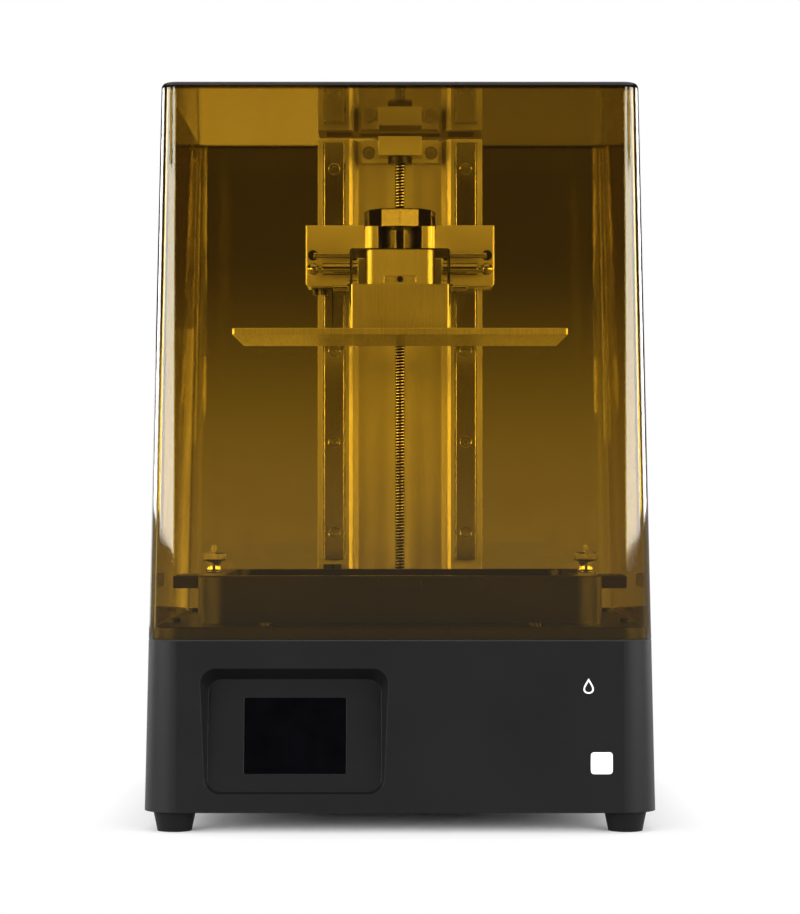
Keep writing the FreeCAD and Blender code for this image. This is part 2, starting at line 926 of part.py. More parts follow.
def cut_rear_panel(body):
    """The fan's grille and the openings for the inlet, the switch and the two sockets."""
    wall = through("2 * dim.shell_wall")
    inside = "-(dim.rear_inside - dim.shell_wall)"
    slot = sketch_on(body, "XZ_Plane", inside)
    first = "-3 * dim.vent_step"
    rounded_rectangle(
        slot, "dim.vent_width", "dim.vent_length", SLOT_END, first, "dim.fan_up"
    )
    grille = feature(slot, "Pocket", wall)
    repeat([grille], "X_Axis", "dim.vent_step", 7)
    ports = sketch_on(body, "XZ_Plane", inside)
    openings = [
        ("dim.inlet_x", "dim.inlet_up", "dim.inlet_width", "dim.inlet_height"),
        ("dim.rocker_x", "dim.inlet_up", "dim.rocker_width", "dim.rocker_height"),
        ("dim.lan_x", f"{PCB_TOP} + dim.lan_height / 2", "dim.lan_width", "dim.lan_height"),
        ("dim.usb_x", f"{PCB_TOP} + dim.usb_height / 2", "dim.usb_width", "dim.usb_height"),
    ]
    for x, z, width, height in openings:
        side = f"(({width}) / 2 + dim.port_margin)"
        rise = f"(({height}) / 2 + dim.port_margin)"
        rectangle(ports, (f"{x} - {side}", f"{x} + {side}"), (f"{z} - {rise}", f"{z} + {rise}"))
    feature(ports, "Pocket", wall)


def deck_screw_spots():
    """Eight screws near the edge of the deck, two on each side."""
    spread, side = "dim.deck_screw_spread", "dim.deck_screw_side"
    spots = []
    for i in (-1, 1):
        for j in (-1, 1):
            spots.append((f"{i} * {side}", f"{j} * {spread}"))
            spots.append((f"{i} * {spread}", f"{j} * {side}"))
    return spots


def make_base_deck():
    """The raised deck: a shallow tray turned upside down, open for the light panel and the tower."""
    body = plate("base_deck", DECK_WIDTH, DECK_WIDTH, "dim.deck_radius", "dim.seam_height", DECK_TOP)
    hollow = sketch_on(body, lift="dim.seam_height")
    inner = f"({DECK_WIDTH} - 2 * dim.deck_wall)"
    rounded_rectangle(hollow, inner, inner, "(dim.deck_radius - dim.deck_wall)")
    feature(hollow, "Pocket", "dim.deck_rise - dim.deck_wall", Reversed=True)
    bosses = sketch_on(body, lift="dim.seam_height")
    for x, y in deck_screw_spots():
        circle(bosses, "dim.deck_boss", x, y)
    for sign in SIDES.values():
        boss = "dim.insert_diameter + 2 * dim.insert_wall"
        circle(bosses, boss, f"{sign} * dim.thumb_side", "dim.thumb_behind")
    feature(bosses, "Pad", "dim.deck_rise - dim.deck_wall / 2")
    soften(body, "Fillet", "dim.deck_edge", at_height(DECK_TOP))
    openings = sketch_on(body, lift=DECK_TOP)
    rounded_rectangle(
        openings,
        "dim.engine_width + 2 * dim.panel_gap",
        "dim.engine_depth + 2 * dim.panel_gap",
        "dim.panel_opening_corner",
        "0",
        "dim.bed_behind",
    )
    rectangle(
        openings,
        ("-dim.tower_gap_half", "dim.tower_gap_half"),
        ("dim.tower_gap_front", "dim.tower_gap_back"),
    )
    for x, y in deck_screw_spots():
        circle(openings, "dim.bolt_hole", x, y)
    for sign in SIDES.values():
        circle(openings, "dim.insert_diameter", f"{sign} * dim.thumb_side", "dim.thumb_behind")
    feature(openings, "Pocket", through("dim.deck_rise"))


def deck_screws():
    """Cap screws that hold the deck to the ledge."""
    original = socket_screw("deck_screw", "dim.deck_rise + dim.shell_wall")
    spots = [(x, y, DECK_TOP) for x, y in deck_screw_spots()]
    return copies(original, spots)


def make_bottom_plate():
    """The steel floor plate inside the walls, with the row of air slots under the power supply."""
    width = f"(2 * {half_at('dim.foot_height')} - 2 * dim.shell_wall - 2 * dim.plate_gap)"
    radius = "(dim.corner_radius - dim.shell_wall - dim.plate_gap)"
    body = plate("bottom_plate", width, width, radius, "dim.foot_height", PLATE_TOP)
    slot = sketch_on(body, lift=PLATE_TOP)
    rounded_rectangle(
        slot, "dim.vent_width", "dim.vent_length", SLOT_END, "-5 * dim.vent_step", "dim.bed_behind"
    )
    vents = feature(slot, "Pocket", through("dim.plate_thickness"))
    repeat([vents], "X_Axis", "dim.vent_step", 11)
    bores = sketch_on(body, lift=PLATE_TOP)
    for x, y, _ in mirror_pairs("dim.foot_spread", "dim.foot_spread", "0"):
        circle(bores, "dim.bolt_hole", x, y)
    feature(bores, "Pocket", through("dim.plate_thickness"))


def make_feet():
    """Four tapered rubber feet, each held by a screw sunk in its underside, and the case's screws."""
    cone = bind(
        doc.addObject("Part::Cone", "foot_cone"),
        Radius1="dim.foot_bottom / 2",
        Radius2="dim.foot_top / 2",
        Height="dim.foot_height",
    )
    sunk = cylinder("foot_sunk", "dim.foot_bore", "dim.foot_bore_depth")
    through = cylinder("foot_through", "dim.bolt_hole", "dim.foot_height")
    spots = mirror_pairs("dim.foot_spread", "dim.foot_spread", "0")
    group("rubber_feet", *copies(cut("rubber_foot", cone, sunk, through), spots))
    length = "dim.foot_height - dim.foot_bore_depth + dim.foot_screw_past"
    screw = socket_screw("foot_screw", length)
    heads = [(x, y, "dim.foot_bore_depth") for x, y, _ in spots]
    group("case_screws", *copies(screw, heads, DOWN), *deck_screws())


# ---- hood ------------------------------------------------------------------------------------------


def make_hood():
    """The amber cover: four tapered walls and a flat top with a round edge, open below."""
    body = new_body("hood_cover")
    height = f"dim.overall_height - {HOOD_LOW}"
    narrowed(shell_square(body, HOOD_LOW), "Pad", height)
    soften(body, "Fillet", "dim.hood_edge", at_height("dim.overall_height"))
    room = shell_square(body, HOOD_LOW, "dim.hood_wall")
    narrowed(room, "Pocket", f"{height} - dim.hood_wall", Reversed=True)


def make_hood_seal():
    """The soft strip under the hood's lower edge."""
    body = new_body("hood_seal")
    strip = shell_square(body, "dim.seam_height", "dim.seal_inset")
    inner = f"(2 * {half_at('dim.seam_height')} - 2 * dim.hood_wall)"
    rounded_rectangle(strip, inner, inner, "dim.seal_radius")
    feature(strip, "Pad", "dim.seal_height")


# ---- screen and light engine -----------------------------------------------------------------------


def make_touchscreen():
    """The glass in the tray's window and the module behind it, both parallel to the tray's floor."""
    glass = new_body("touchscreen_glass")
    face = tray_sketch(glass, "-dim.glass_sunk")
    rounded_rectangle(
        face,
        "dim.window_width - 2 * dim.glass_gap",
        "dim.window_height - 2 * dim.glass_gap",
        "dim.window_radius",
        "dim.window_centre",
        "dim.window_up",
    )
    feature(face, "Pad", "dim.tray_wall - dim.glass_sunk", Reversed=True)
    module = new_body("touchscreen_module")
    back = tray_sketch(module, "-dim.tray_wall")
    rounded_rectangle(
        back,
        "dim.module_width",
        "dim.module_height",
        "dim.module_corner",
        "dim.window_centre",
        "dim.window_up",
    )
    feature(back, "Pad", "dim.module_depth", Reversed=True)


def make_light_engine():
    """Everything under the resin: mask panel, its frame, shroud, lenses, lamps, heat sink and posts."""
    middle = ("0", "dim.bed_behind")
    whole = ("dim.engine_width", "dim.engine_depth")
    corner = "dim.engine_corner"
    inner_corner = "dim.engine_inner_corner"
    frame_high = "dim.panel_frame_high"
    plate("mask_panel", *whole, corner, frame_high, "dim.panel_high", *middle)
    inside = [f"({side} - 2 * dim.engine_wall)" for side in whole]
    frame = plate("panel_frame", *whole, corner, "dim.engine_top", frame_high, *middle)
    opening = sketch_on(frame, lift=frame_high)
    window = ("dim.panel_window_width", "dim.panel_window_depth")
    rounded_rectangle(opening, *window, inner_corner, *middle)
    feature(opening, "Pocket", through(f"{frame_high} - dim.engine_top"))
    shroud_corner = "dim.shroud_corner"
    shroud = plate(
        "light_shroud", *whole, shroud_corner, "dim.sink_high", "dim.engine_top", *middle
    )
    shaft = sketch_on(shroud, lift="dim.engine_top")
    rounded_rectangle(shaft, *inside, inner_corner, *middle)
    feature(shaft, "Pocket", "dim.engine_top")
    board_high = "dim.sink_high + dim.board_thickness"
    board = plate("lamp_board", *inside, "dim.board_corner", "dim.sink_high", board_high, *middle)
    add_lamps(board, board_high)
    make_lenses(inside, middle)
    make_heat_sink()


def add_lamps(body, low):
    """The ultraviolet lamps: eight by five small packages on the board."""
    first = sketch_on(body, lift=low)
    centre_x, centre_y = FIRST_LAMP
    side = "dim.led_size / 2"
    rectangle(
        first,
        (f"{centre_x} - {side}", f"{centre_x} + {side}"),
        (f"{centre_y} - {side}", f"{centre_y} + {side}"),
    )
    one = feature(first, "Pad", "dim.led_height")
    spread(body, one)


def make_lenses(inside, middle):
    """The clear lens sheet, with a round lens over each lamp."""
    high = "dim.lens_low + dim.lens_thickness"
    body = plate("lens_sheet", *inside, "dim.board_corner", "dim.lens_low", high, *middle)
    first = sketch_on(body, lift=high)
    circle(first, "dim.lens_diameter", *FIRST_LAMP)
    one = feature(first, "Pad", "dim.lens_height")
    spread(body, one)


def spread(body, one):
    """Repeats one feature over the lamps' grid."""
    rows = body.newObject("PartDesign::MultiTransform", f"{body.Name}_grid")
    rows.Originals = [one]
    steps = []
    for axis, step, count in (("X_Axis", "dim.led_step_x", 8), ("Y_Axis", "dim.led_step_y", 5)):
        part = body.newObject("PartDesign::LinearPattern", f"{body.Name}_step")
        line = next(f for f in body.Origin.OriginFeatures if f.Role == axis)
        part.Direction = (line, [""])
        part.setExpression("Length", f"{step} * {count - 1}")
        part.Occurrences = count
        steps.append(part)
    rows.Transformations = steps
    body.Tip = rows
    doc.recompute()


def make_heat_sink():
    """The lamps' heat sink: a plate with a row of fins below it."""
    body = plate(
        "heat_sink",
        "dim.engine_width",
        "dim.engine_depth",
        "dim.engine_corner",
        SINK_UNDER,
        "dim.sink_high",
        "0",
        "dim.bed_behind",
    )
    fin = sketch_on(body, lift=SINK_UNDER)
    half = "dim.engine_depth / 2"
    left = "-6 * dim.fin_step"
    rectangle(
        fin,
        (f"{left} - dim.fin_thickness / 2", f"{left} + dim.fin_thickness / 2"),
        (f"dim.bed_behind - {half}", f"dim.bed_behind + {half}"),
    )
    one = feature(fin, "Pad", f"{SINK_UNDER} - dim.sink_low", Reversed=True)
    repeat([one], "X_Axis", "dim.fin_step", 13)


# ---- tower: chassis, column, rails, motor, bearing ---------------------------------------------------


def make_chassis():
    """The steel plate that carries the tower."""
    body = new_body("chassis_plate")
    sheet_metal = sketch_on(body, lift="dim.chassis_low")
    rectangle(
        sheet_metal,
        ("-dim.chassis_half", "dim.chassis_half"),
        ("dim.chassis_front", "dim.chassis_back"),
    )
    circle(sheet_metal, "dim.pilot_diameter + dim.pilot_gap", "0", "dim.screw_behind")
    for x, y in motor_screw_spots():
        circle(sheet_metal, "dim.motor_bolt_hole", x, y)
    for x, y in column_screw_spots():
        circle(sheet_metal, "dim.column_screw_hole", x, y)
    feature(sheet_metal, "Pad", "dim.chassis_thickness")


def motor_screw_spots():
    """The motor's four screws, in a square round the lead screw."""
    side = "dim.motor_bolt_side"
    return [
        (f"{i} * {side}", f"dim.screw_behind + {j} * {side}") for i in (-1, 1) for j in (-1, 1)
    ]


def make_posts():
    """The posts and spacers that stand on the floor plate: four each under the chassis, the light
    engine, the mainboard and the power supply."""
    signs = (-1, 1)
    chassis = [
        (f"{i} * dim.post_side", y, PLATE_TOP)
        for i in signs
        for y in ("dim.post_front", "dim.post_back")
    ]
    engine = [
        (f"{i} * dim.engine_post_x", f"dim.bed_behind + {j} * dim.engine_post_y", PLATE_TOP)
        for i in signs
        for j in signs
    ]
    board = [
        (f"dim.pcb_{edge} {inward} dim.standoff_inset", y, PLATE_TOP)
        for edge, inward in (("inner", "+"), ("outer", "-"))
        for y in ("dim.pcb_front + dim.standoff_inset", "dim.pcb_back - dim.standoff_inset")
    ]
    supply = [
        (f"-dim.supply_{edge} {inward} dim.standoff_inset", y, PLATE_TOP)
        for edge, inward in (("outer", "+"), ("inner", "-"))
        for y in ("dim.supply_front + dim.standoff_inset", "dim.supply_back - dim.standoff_inset")
    ]
    kinds = (
        ("chassis_post", "dim.post_diameter", "dim.chassis_low", chassis),
        ("engine_post", "dim.post_diameter", SINK_UNDER, engine),
        ("board_post", "dim.standoff_diameter", "dim.pcb_low", board),
        ("supply_post", "dim.post_diameter", "dim.supply_low", supply),
    )
    made = []
    for name, diameter, high, spots in kinds:
        made += copies(cylinder(name, diameter, f"{high} - {PLATE_TOP}"), spots)
    group("inner_posts", *made)


def column_screw_spots():
    """Where the column is screwed to the chassis from below."""
    side = "((dim.column_half + dim.flange_inner) / 2)"
    behind = ("dim.column_screw_front", "dim.column_screw_back")
    return [(f"{i} * {side}", y) for i in (-1, 1) for y in behind]


def make_column():
    """The extruded tower: two front flanges for the rails, a sunk web for the screw, three chambers."""
    body = new_body("z_column")
    profile = sketch_on(body, lift=CHASSIS_TOP)
    right = [
        ("dim.web_half", "dim.web_front"),
        ("dim.rib_inner", "dim.column_front + dim.rib_depth"),
        ("dim.rib_outer", "dim.column_front + dim.rib_depth"),
        ("dim.rib_outer", "dim.column_front + dim.rib_lip"),
        ("dim.flange_inner", "dim.column_front"),
        ("dim.column_half", "dim.column_front"),
        ("dim.column_half", "dim.column_back"),
    ]
    left = [(f"-({x})", y) for x, y in reversed(right)]
    outline(profile, left + right)
    feature(profile, "Pad", f"dim.column_top - {CHASSIS_TOP}")
    chambers = sketch_on(body, lift="dim.column_top")
    back = "dim.column_back - dim.column_wall"
    front = "dim.column_front + dim.column_wall + dim.rib_depth"
    outer_end = "(dim.column_half - dim.column_wall)"
    for sign in SIDES.values():
        ends = [f"{sign} * dim.side_chamber_inner", f"{sign} * {outer_end}"]
        rectangle(chambers, tuple(ends[::sign]), (front, back))
    inner = ("-dim.middle_chamber_half", "dim.middle_chamber_half")
    rectangle(chambers, inner, ("dim.web_front + dim.column_wall", back))
    feature(chambers, "Pocket", f"dim.column_top - {CHASSIS_TOP} - dim.column_foot")
    threads = sketch_on(body, lift=CHASSIS_TOP)
    for x, y in column_screw_spots():
        circle(threads, "dim.tapped_hole", x, y)
    feature(threads, "Pocket", "dim.tapped_depth", Reversed=True)
    ears = sketch_on(body, "XZ_Plane", "-dim.web_front")
    for sign in SIDES.values():
        circle(ears, "dim.tapped_hole", f"{sign} * dim.ear_screw", EAR_SCREW_UP)
    feature(ears, "Pocket", "dim.column_wall")


def column_screws():
    """Screws from under the chassis plate into the column's foot."""
    original = cap_screw("column_screw", "dim.column_screw_length")
    spots = [(x, y, "dim.chassis_low") for x, y in column_screw_spots()]
    return copies(original, spots, DOWN)


def make_rails():
    """Two profiled rails with a row of counterbored holes. Returns the screws that go in them."""
    back = "dim.column_front"
    waist, edge = "dim.rail_waist / 2", "dim.rail_edge"
    half = "dim.rail_width / 2"
    right = [
        (half, "0"),
        (half, "dim.shoulder_low"),
        (waist, "dim.waist_low"),
        (waist, "dim.waist_high"),
        (half, "dim.shoulder_high"),
        (half, f"dim.rail_height - {edge}"),
        (f"{half} - {edge}", "dim.rail_height"),
    ]
    spots = []
    for name, sign in SIDES.items():
        body = new_body(f"rail_{name}")
        profile = sketch_on(body, lift="dim.rail_low")
        centre = f"{sign} * dim.rail_side"
        corners = [(f"{centre} + ({x})", f"{back} - ({y})") for x, y in right]
        corners += [(f"{centre} - ({x})", f"{back} - ({y})") for x, y in reversed(right)]
        outline(profile, corners)
        feature(profile, "Pad", "dim.rail_length")
        face = f"-({back} - dim.rail_height)"
        first = "dim.rail_low + dim.bolt_margin"
        cuts = []
        for diameter, depth in (
            ("dim.counterbore", "dim.counterbore_depth"),
            ("dim.bolt_hole", through("dim.rail_height")),
        ):
            hole = sketch_on(body, "XZ_Plane", face)
            circle(hole, diameter, centre, first)
            cuts.append(feature(hole, "Pocket", depth))
        repeat(cuts, "Z_Axis", "dim.bolt_pitch", RAIL_BOLTS)
        seat = f"{back} - dim.rail_height + dim.counterbore_depth"
        for i in range(RAIL_BOLTS):
            spots.append((centre, seat, f"{first} + {i} * dim.bolt_pitch"))
    length = "dim.rail_height - dim.counterbore_depth"
    original = socket_screw("rail_screw", length)
    return copies(original, spots, FORWARD)


def make_motor():
    """The stepper motor under the chassis plate, with its pilot boss in the plate's bore."""
    low = "(dim.chassis_low - dim.motor_length)"
    body = plate(
        "z_motor",
        "dim.motor_side",
        "dim.motor_side",
        "dim.motor_corner",
        low,
        "dim.chassis_low",
        "0",
        "dim.screw_behind",
    )
    boss = sketch_on(body, lift="dim.chassis_low")
    circle(boss, "dim.pilot_diameter", "0", "dim.screw_behind")
    feature(boss, "Pad", "dim.pilot_height")
    bore = sketch_on(body, lift="dim.chassis_low + dim.pilot_height")
    circle(bore, "dim.shaft_diameter + 2 * dim.running_fit", "0", "dim.screw_behind")
    feature(bore, "Pocket", "dim.shaft_bore")
    plug = sketch_on(body, "YZ_Plane", "dim.motor_side / 2")
    across = ("dim.screw_behind - dim.motor_plug_half", "dim.screw_behind + dim.motor_plug_half")
    rectangle(plug, across, (f"{low} + dim.motor_plug_low", f"{low} + dim.motor_plug_high"))
    feature(plug, "Pad", "dim.motor_plug_reach")
    original = socket_screw("motor_screw", "dim.chassis_thickness")
    spots = [(x, y, CHASSIS_TOP) for x, y in motor_screw_spots()]
    group("chassis_screws", *copies(original, spots), *column_screws())


def make_lead_screw():
    """The lead screw, the motor's shaft below it and the coupler that joins the two."""
    behind = "dim.screw_behind"
    length = "dim.screw_high - dim.screw_low"
    node(
        "lead_screw",
        cylinder("lead_screw", "dim.screw_diameter", length, "0", behind, "dim.screw_low"),
    )
    shaft_low = "(dim.chassis_low - dim.shaft_depth)"
    shaft = cylinder(
        "motor_shaft",
        "dim.shaft_diameter",
        f"dim.screw_low - 1 - {shaft_low}",
        "0",
        behind,
        shaft_low,
    )
    body = doc.addObject("PartDesign::Body", "coupler")
    ring = sketch_on(body, lift="dim.coupler_low")
    circle(ring, "dim.coupler_diameter", "0", behind)
    feature(ring, "Pad", "dim.coupler_high - dim.coupler_low")
    for lift, diameter, upward in (
        ("dim.screw_low - 0.5", "dim.screw_diameter", True),
        ("dim.screw_low", "dim.shaft_diameter", False),
    ):
        bore = sketch_on(body, lift=lift)
        circle(bore, diameter, "0", behind)
        feature(bore, "Pocket", through("dim.coupler_high - dim.coupler_low"), Reversed=upward)
    group("shaft_coupler", body, shaft)


def make_top_bearing():
    """The block at the tower's head, with two ears screwed to the web, and its bearing."""
    body = new_body("bearing_block")
    front = sketch_on(body, lift="dim.head_low")
    rectangle(front, ("-dim.head_half", "dim.head_half"), ("dim.head_front", "dim.web_front"))
    feature(front, "Pad", "dim.head_high - dim.head_low")
    ears = sketch_on(body, lift="dim.ear_low")
    rectangle(ears, ("-dim.ear_half", "dim.ear_half"), ("dim.ear_front", "dim.web_front"))
    feature(ears, "Pad", "dim.head_high - dim.ear_low")
    bore = sketch_on(body, lift="dim.head_low - 3")
    circle(bore, "dim.screw_diameter + 1", "0", "dim.screw_behind")
    feature(bore, "Pocket", "3 + dim.head_bore_depth", Reversed=True)
    holes = sketch_on(body, "XZ_Plane", "-dim.ear_front")
    for sign in SIDES.values():
        circle(holes, "dim.ear_screw_hole", f"{sign} * dim.ear_screw", EAR_SCREW_UP)
    feature(holes, "Pocket", through("dim.web_front - dim.ear_front"))
    original = cap_screw("ear_screw", "dim.web_front - dim.ear_front + dim.ear_screw_bite")
    spots = [(f"{i} * dim.ear_screw", "dim.ear_front", EAR_SCREW_UP) for i in (-1, 1)]
    group("tower_screws", *copies(original, spots, FORWARD), *make_rails())
    outer = cylinder(
        "bearing_outer",
        "dim.bearing_diameter",
        "dim.head_low - dim.bearing_low",
        "0",
        "dim.screw_behind",
        "dim.bearing_low",
    )
    bore = cylinder(
        "bearing_bore",
        "dim.screw_diameter + 2 * dim.running_fit",
        "dim.head_low",
        "0",
        "dim.screw_behind",
        "dim.bearing_low - 1",
    )
    node("top_bearing", cut("top_bearing", outer, bore))


def make_home_sensor():
    """The slotted sensor below the left rail, which the carriage's flag enters at the bottom."""
    body = box(
        "sensor_body",
        ("-dim.sensor_outer", "-dim.sensor_inner"),
        ("dim.sensor_front", "dim.column_front"),
        ("dim.sensor_low", "dim.sensor_high"),
    )
    slot = box(
        "sensor_gap",
        ("-dim.flag_side - dim.sensor_slot / 2", "-dim.flag_side + dim.sensor_slot / 2"),
        ("dim.sensor_front - 1", "dim.flag_back + dim.sensor_slot_past"),
        ("dim.sensor_low - 1", "dim.sensor_high + 1"),
    )
    node("home_sensor", cut("home_sensor", body, slot))


# ---- carriage ----------------------------------------------------------------------------------------


def make_carriage_plate():
    """The plate across both guide blocks, with its two lower corners bevelled."""
    body = new_body("carriage_plate")
    face = sketch_on(body, "XZ_Plane", "-dim.plate_back")
    bevel = "dim.plate_bevel"
    outline(
        face,
        [
            (f"-dim.plate_half + {bevel}", "dim.plate_low"),
            (f"dim.plate_half - {bevel}", "dim.plate_low"),
            ("dim.plate_half", f"dim.plate_low + {bevel} / 2"),
            ("dim.plate_half", "dim.plate_high"),
            ("-dim.plate_half", "dim.plate_high"),
            ("-dim.plate_half", f"dim.plate_low + {bevel} / 2"),
        ],
    )
    feature(face, "Pad", "dim.plate_back - dim.plate_front")
    bores = sketch_on(body, "XZ_Plane", "-dim.plate_front")
    for x, z in carriage_screw_spots():
        circle(bores, "dim.carriage_screw_bore", x, z)
    feature(bores, "Pocket", "dim.carriage_screw_sunk")
    shanks = sketch_on(body, "XZ_Plane", "-dim.plate_front")
    for x, z in carriage_screw_spots():
        circle(shanks, "dim.carriage_screw_hole", x, z)
    for x, z in arm_screw_spots():
        circle(shanks, "dim.arm_screw_hole", x, z)
    feature(shanks, "Pocket", through("dim.plate_back - dim.plate_front"))
    soften(
        body,
        "Chamfer",
        "dim.carriage_edge",
        lambda edge: edge.Length > 30 and edge.BoundBox.YLength < 0.01,
    )


def carriage_screw_spots():
    """Two screws into each guide block."""
    across = ("dim.carriage_screw_inner", "dim.carriage_screw_outer")
    return [(f"{i} * {x}", "dim.carriage_screw_up") for i in (-1, 1) for x in across]


def arm_screw_spots():
    """Four screws through the plate into the root of the arm."""
    heights = ("dim.arm_screw_low", "dim.arm_screw_high")
    return [(f"{i} * dim.arm_screw_side", z) for i in (-1, 1) for z in heights]


def make_carriage_screws():
    """The black screws sunk in the plate, those behind it that hold the arm, and the flag's two."""
    original = socket_screw("carriage_screw", "dim.plate_back - dim.plate_front")
    seat = "dim.plate_front + dim.carriage_screw_sunk"
    spots = [(x, seat, z) for x, z in carriage_screw_spots()]
    plate_screws = copies(original, spots, FORWARD)
    length = "dim.plate_back - dim.plate_front + dim.arm_screw_bite"
    original = socket_screw("arm_screw", length, "dim.cap_screw_head_height")
    spots = [(x, "dim.plate_back", z) for x, z in arm_screw_spots()]
    arm_screws = copies(original, spots, BACKWARD)
    under = "dim.block_low - dim.tab_thickness - dim.flag_head"
    flag_screws = [
        cylinder("flag_screw", "dim.flag_screw", "dim.flag_head", x, "dim.flag_screw_behind", under)
        for x in ("-dim.flag_screw_outer", "-dim.flag_screw_inner")
    ]
    group("carriage_screws", *plate_screws, *arm_screws, *flag_screws)


def make_guide_blocks():
    """The two blocks that run on the rails, each open at the back round its rail."""
    body = new_body("guide_blocks")
    for sign in SIDES.values():
        centre = f"{sign} * dim.rail_side"
        profile = sketch_on(body, lift="dim.block_low")
        channel = "(dim.rail_width / 2 + dim.block_play)"
        seat = "(dim.column_front - dim.rail_height - dim.block_play)"
        right = [
            ("dim.block_width / 2", "dim.plate_back"),
            ("dim.block_width / 2", "dim.block_back"),
            (channel, "dim.block_back"),
            (channel, seat),
        ]
        corners = [(f"{centre} + {x}", y) for x, y in right]
        corners += [(f"{centre} - {x}", y) for x, y in reversed(right)]
        outline(profile, corners)
        feature(profile, "Pad", "dim.block_high - dim.block_low")
        holes = sketch_on(body, "XZ_Plane", "-dim.plate_back")
        for x, z in carriage_screw_spots():
            if size(x) * sign > 0:
                circle(holes, "dim.carriage_screw_shank", x, z)
        feature(holes, "Pocket", "dim.block_thread_depth")


def make_arm():
    """The forked arm that carries the platform: a slot open to the front takes the clamp's hub."""
    body = new_body("carriage_arm")
    plan = sketch_on(body, lift="dim.arm_low")
    rectangle(plan, ("-dim.arm_half", "dim.arm_half"), ("dim.arm_front", "dim.plate_front"))
    feature(plan, "Pad", "dim.arm_high - dim.arm_low")
    soften(
        body,
        "Fillet",
        "dim.arm_edge",
        lambda edge: edge.BoundBox.ZLength > 5 and edge.BoundBox.YMax < size("dim.arm_front") + 1,
    )
    slot = sketch_on(body, lift="dim.arm_high")
    half = "dim.fork_width / 2"
    rectangle(slot, (f"-{half}", half), ("dim.arm_front - 1", "dim.fork_end"))
    feature(slot, "Pocket", "dim.arm_high")
    end = sketch_on(body, lift="dim.arm_high")
    circle(end, "dim.fork_width", "0", "dim.fork_end")
    feature(end, "Pocket", "dim.arm_high")
    root = sketch_on(body, lift="dim.root_low")
    rectangle(root, ("-dim.root_half", "dim.root_half"), ("dim.root_front", "dim.plate_front"))
    feature(root, "Pad", "dim.root_high - dim.root_low")
    bores = sketch_on(body, "XZ_Plane", "-dim.plate_front")
    for x, z in arm_screw_spots():
        circle(bores, "dim.arm_screw_shank", x, z)
    feature(bores, "Pocket", "dim.arm_screw_bite", Reversed=True)


def make_arm_bars():
    """On each side of the arm's root: a round bar with a ball end, a thin rod above it and a
    collared pin below it."""
    bars, rods, pins = [], [], []
    for name, sign in SIDES.items():
        towards = TO_RIGHT if sign > 0 else TO_LEFT
        start = f"{sign} * dim.root_half"
        ball = bind(doc.addObject("Part::Sphere", f"ball_{name}"), Radius="dim.bar_diameter / 2")
        place(ball, f"{sign} * dim.ball_centre", "dim.bar_front", "dim.bar_up")
        bar = cylinder(
            f"bar_{name}",
            "dim.bar_diameter",
            "dim.bar_end - dim.root_half",
            start,
            "dim.bar_front",
            "dim.bar_up",
            towards,
        )
        neck = cylinder(
            f"neck_{name}",
            "dim.bar_diameter * 0.6",
            "dim.ball_centre - dim.root_half",
            start,
            "dim.bar_front",
            "dim.bar_up",
            towards,
        )
        bars.append(fuse(f"bar_whole_{name}", bar, neck, ball))
        rods.append(
            cylinder(
                f"rod_{name}",
                "dim.rod_diameter",
                "dim.ball_centre - dim.arm_half",
                f"{sign} * dim.arm_half",
                "dim.bar_front",
                "dim.rod_up",
                towards,
            )
        )
        pin = cylinder(
            f"pin_{name}",
            "dim.pin_diameter",
            "dim.pin_end - dim.root_half",
            start,
            "dim.pin_front",
            "dim.pin_up",
            towards,
        )
        collar = cylinder(
            f"collar_{name}",
            "dim.pin_collar",
            "dim.pin_collar_end - dim.root_half",
            start,
            "dim.pin_front",
            "dim.pin_collar_up",
            towards,
        )
        pins.append(fuse(f"pin_whole_{name}", pin, collar))
    group("arm_bars", *bars, *rods, *pins)


def make_lead_nut():
    """The nut's bracket behind the plate, and the flanged brass nut that drops into it."""
    body = new_body("nut_bracket")
    shelf = sketch_on(body, lift="dim.nut_low")
    rectangle(shelf, ("-dim.nut_half", "dim.nut_half"), ("dim.plate_back", "dim.nut_back"))
    circle(shelf, "dim.nut_barrel", "0", "dim.screw_behind")
    feature(shelf, "Pad", "dim.nut_high - dim.nut_low")
    nut = new_body("lead_nut")
    for low, height, diameter in (
        ("dim.nut_low", "dim.nut_high - dim.nut_low", "dim.nut_barrel"),
        ("dim.nut_high", "dim.nut_flange_height", "dim.nut_flange"),
    ):
        ring = sketch_on(nut, lift=low)
        circle(ring, diameter, "0", "dim.screw_behind")
        circle(ring, "dim.screw_diameter + 2 * dim.running_fit", "0", "dim.screw_behind")
        feature(ring, "Pad", height)


def make_home_flag():
    """The thin flag that hangs from the left guide block."""
    tab = box(
        "flag_tab",
        ("-dim.tab_outer", "-dim.flag_side + dim.flag_thickness / 2"),
        ("dim.tab_front", "dim.flag_back"),
        ("dim.block_low - dim.tab_thickness", "dim.block_low"),
    )
    blade = box(
        "flag_blade",
        (
            "-dim.flag_side - dim.flag_thickness / 2",
            "-dim.flag_side + dim.flag_thickness / 2",
        ),
        ("dim.flag_front", "dim.flag_back"),
        ("dim.flag_low", "dim.block_low"),
    )
    node("home_flag", fuse("home_flag", tab, blade))


# ---- build platform ----------------------------------------------------------------------------------


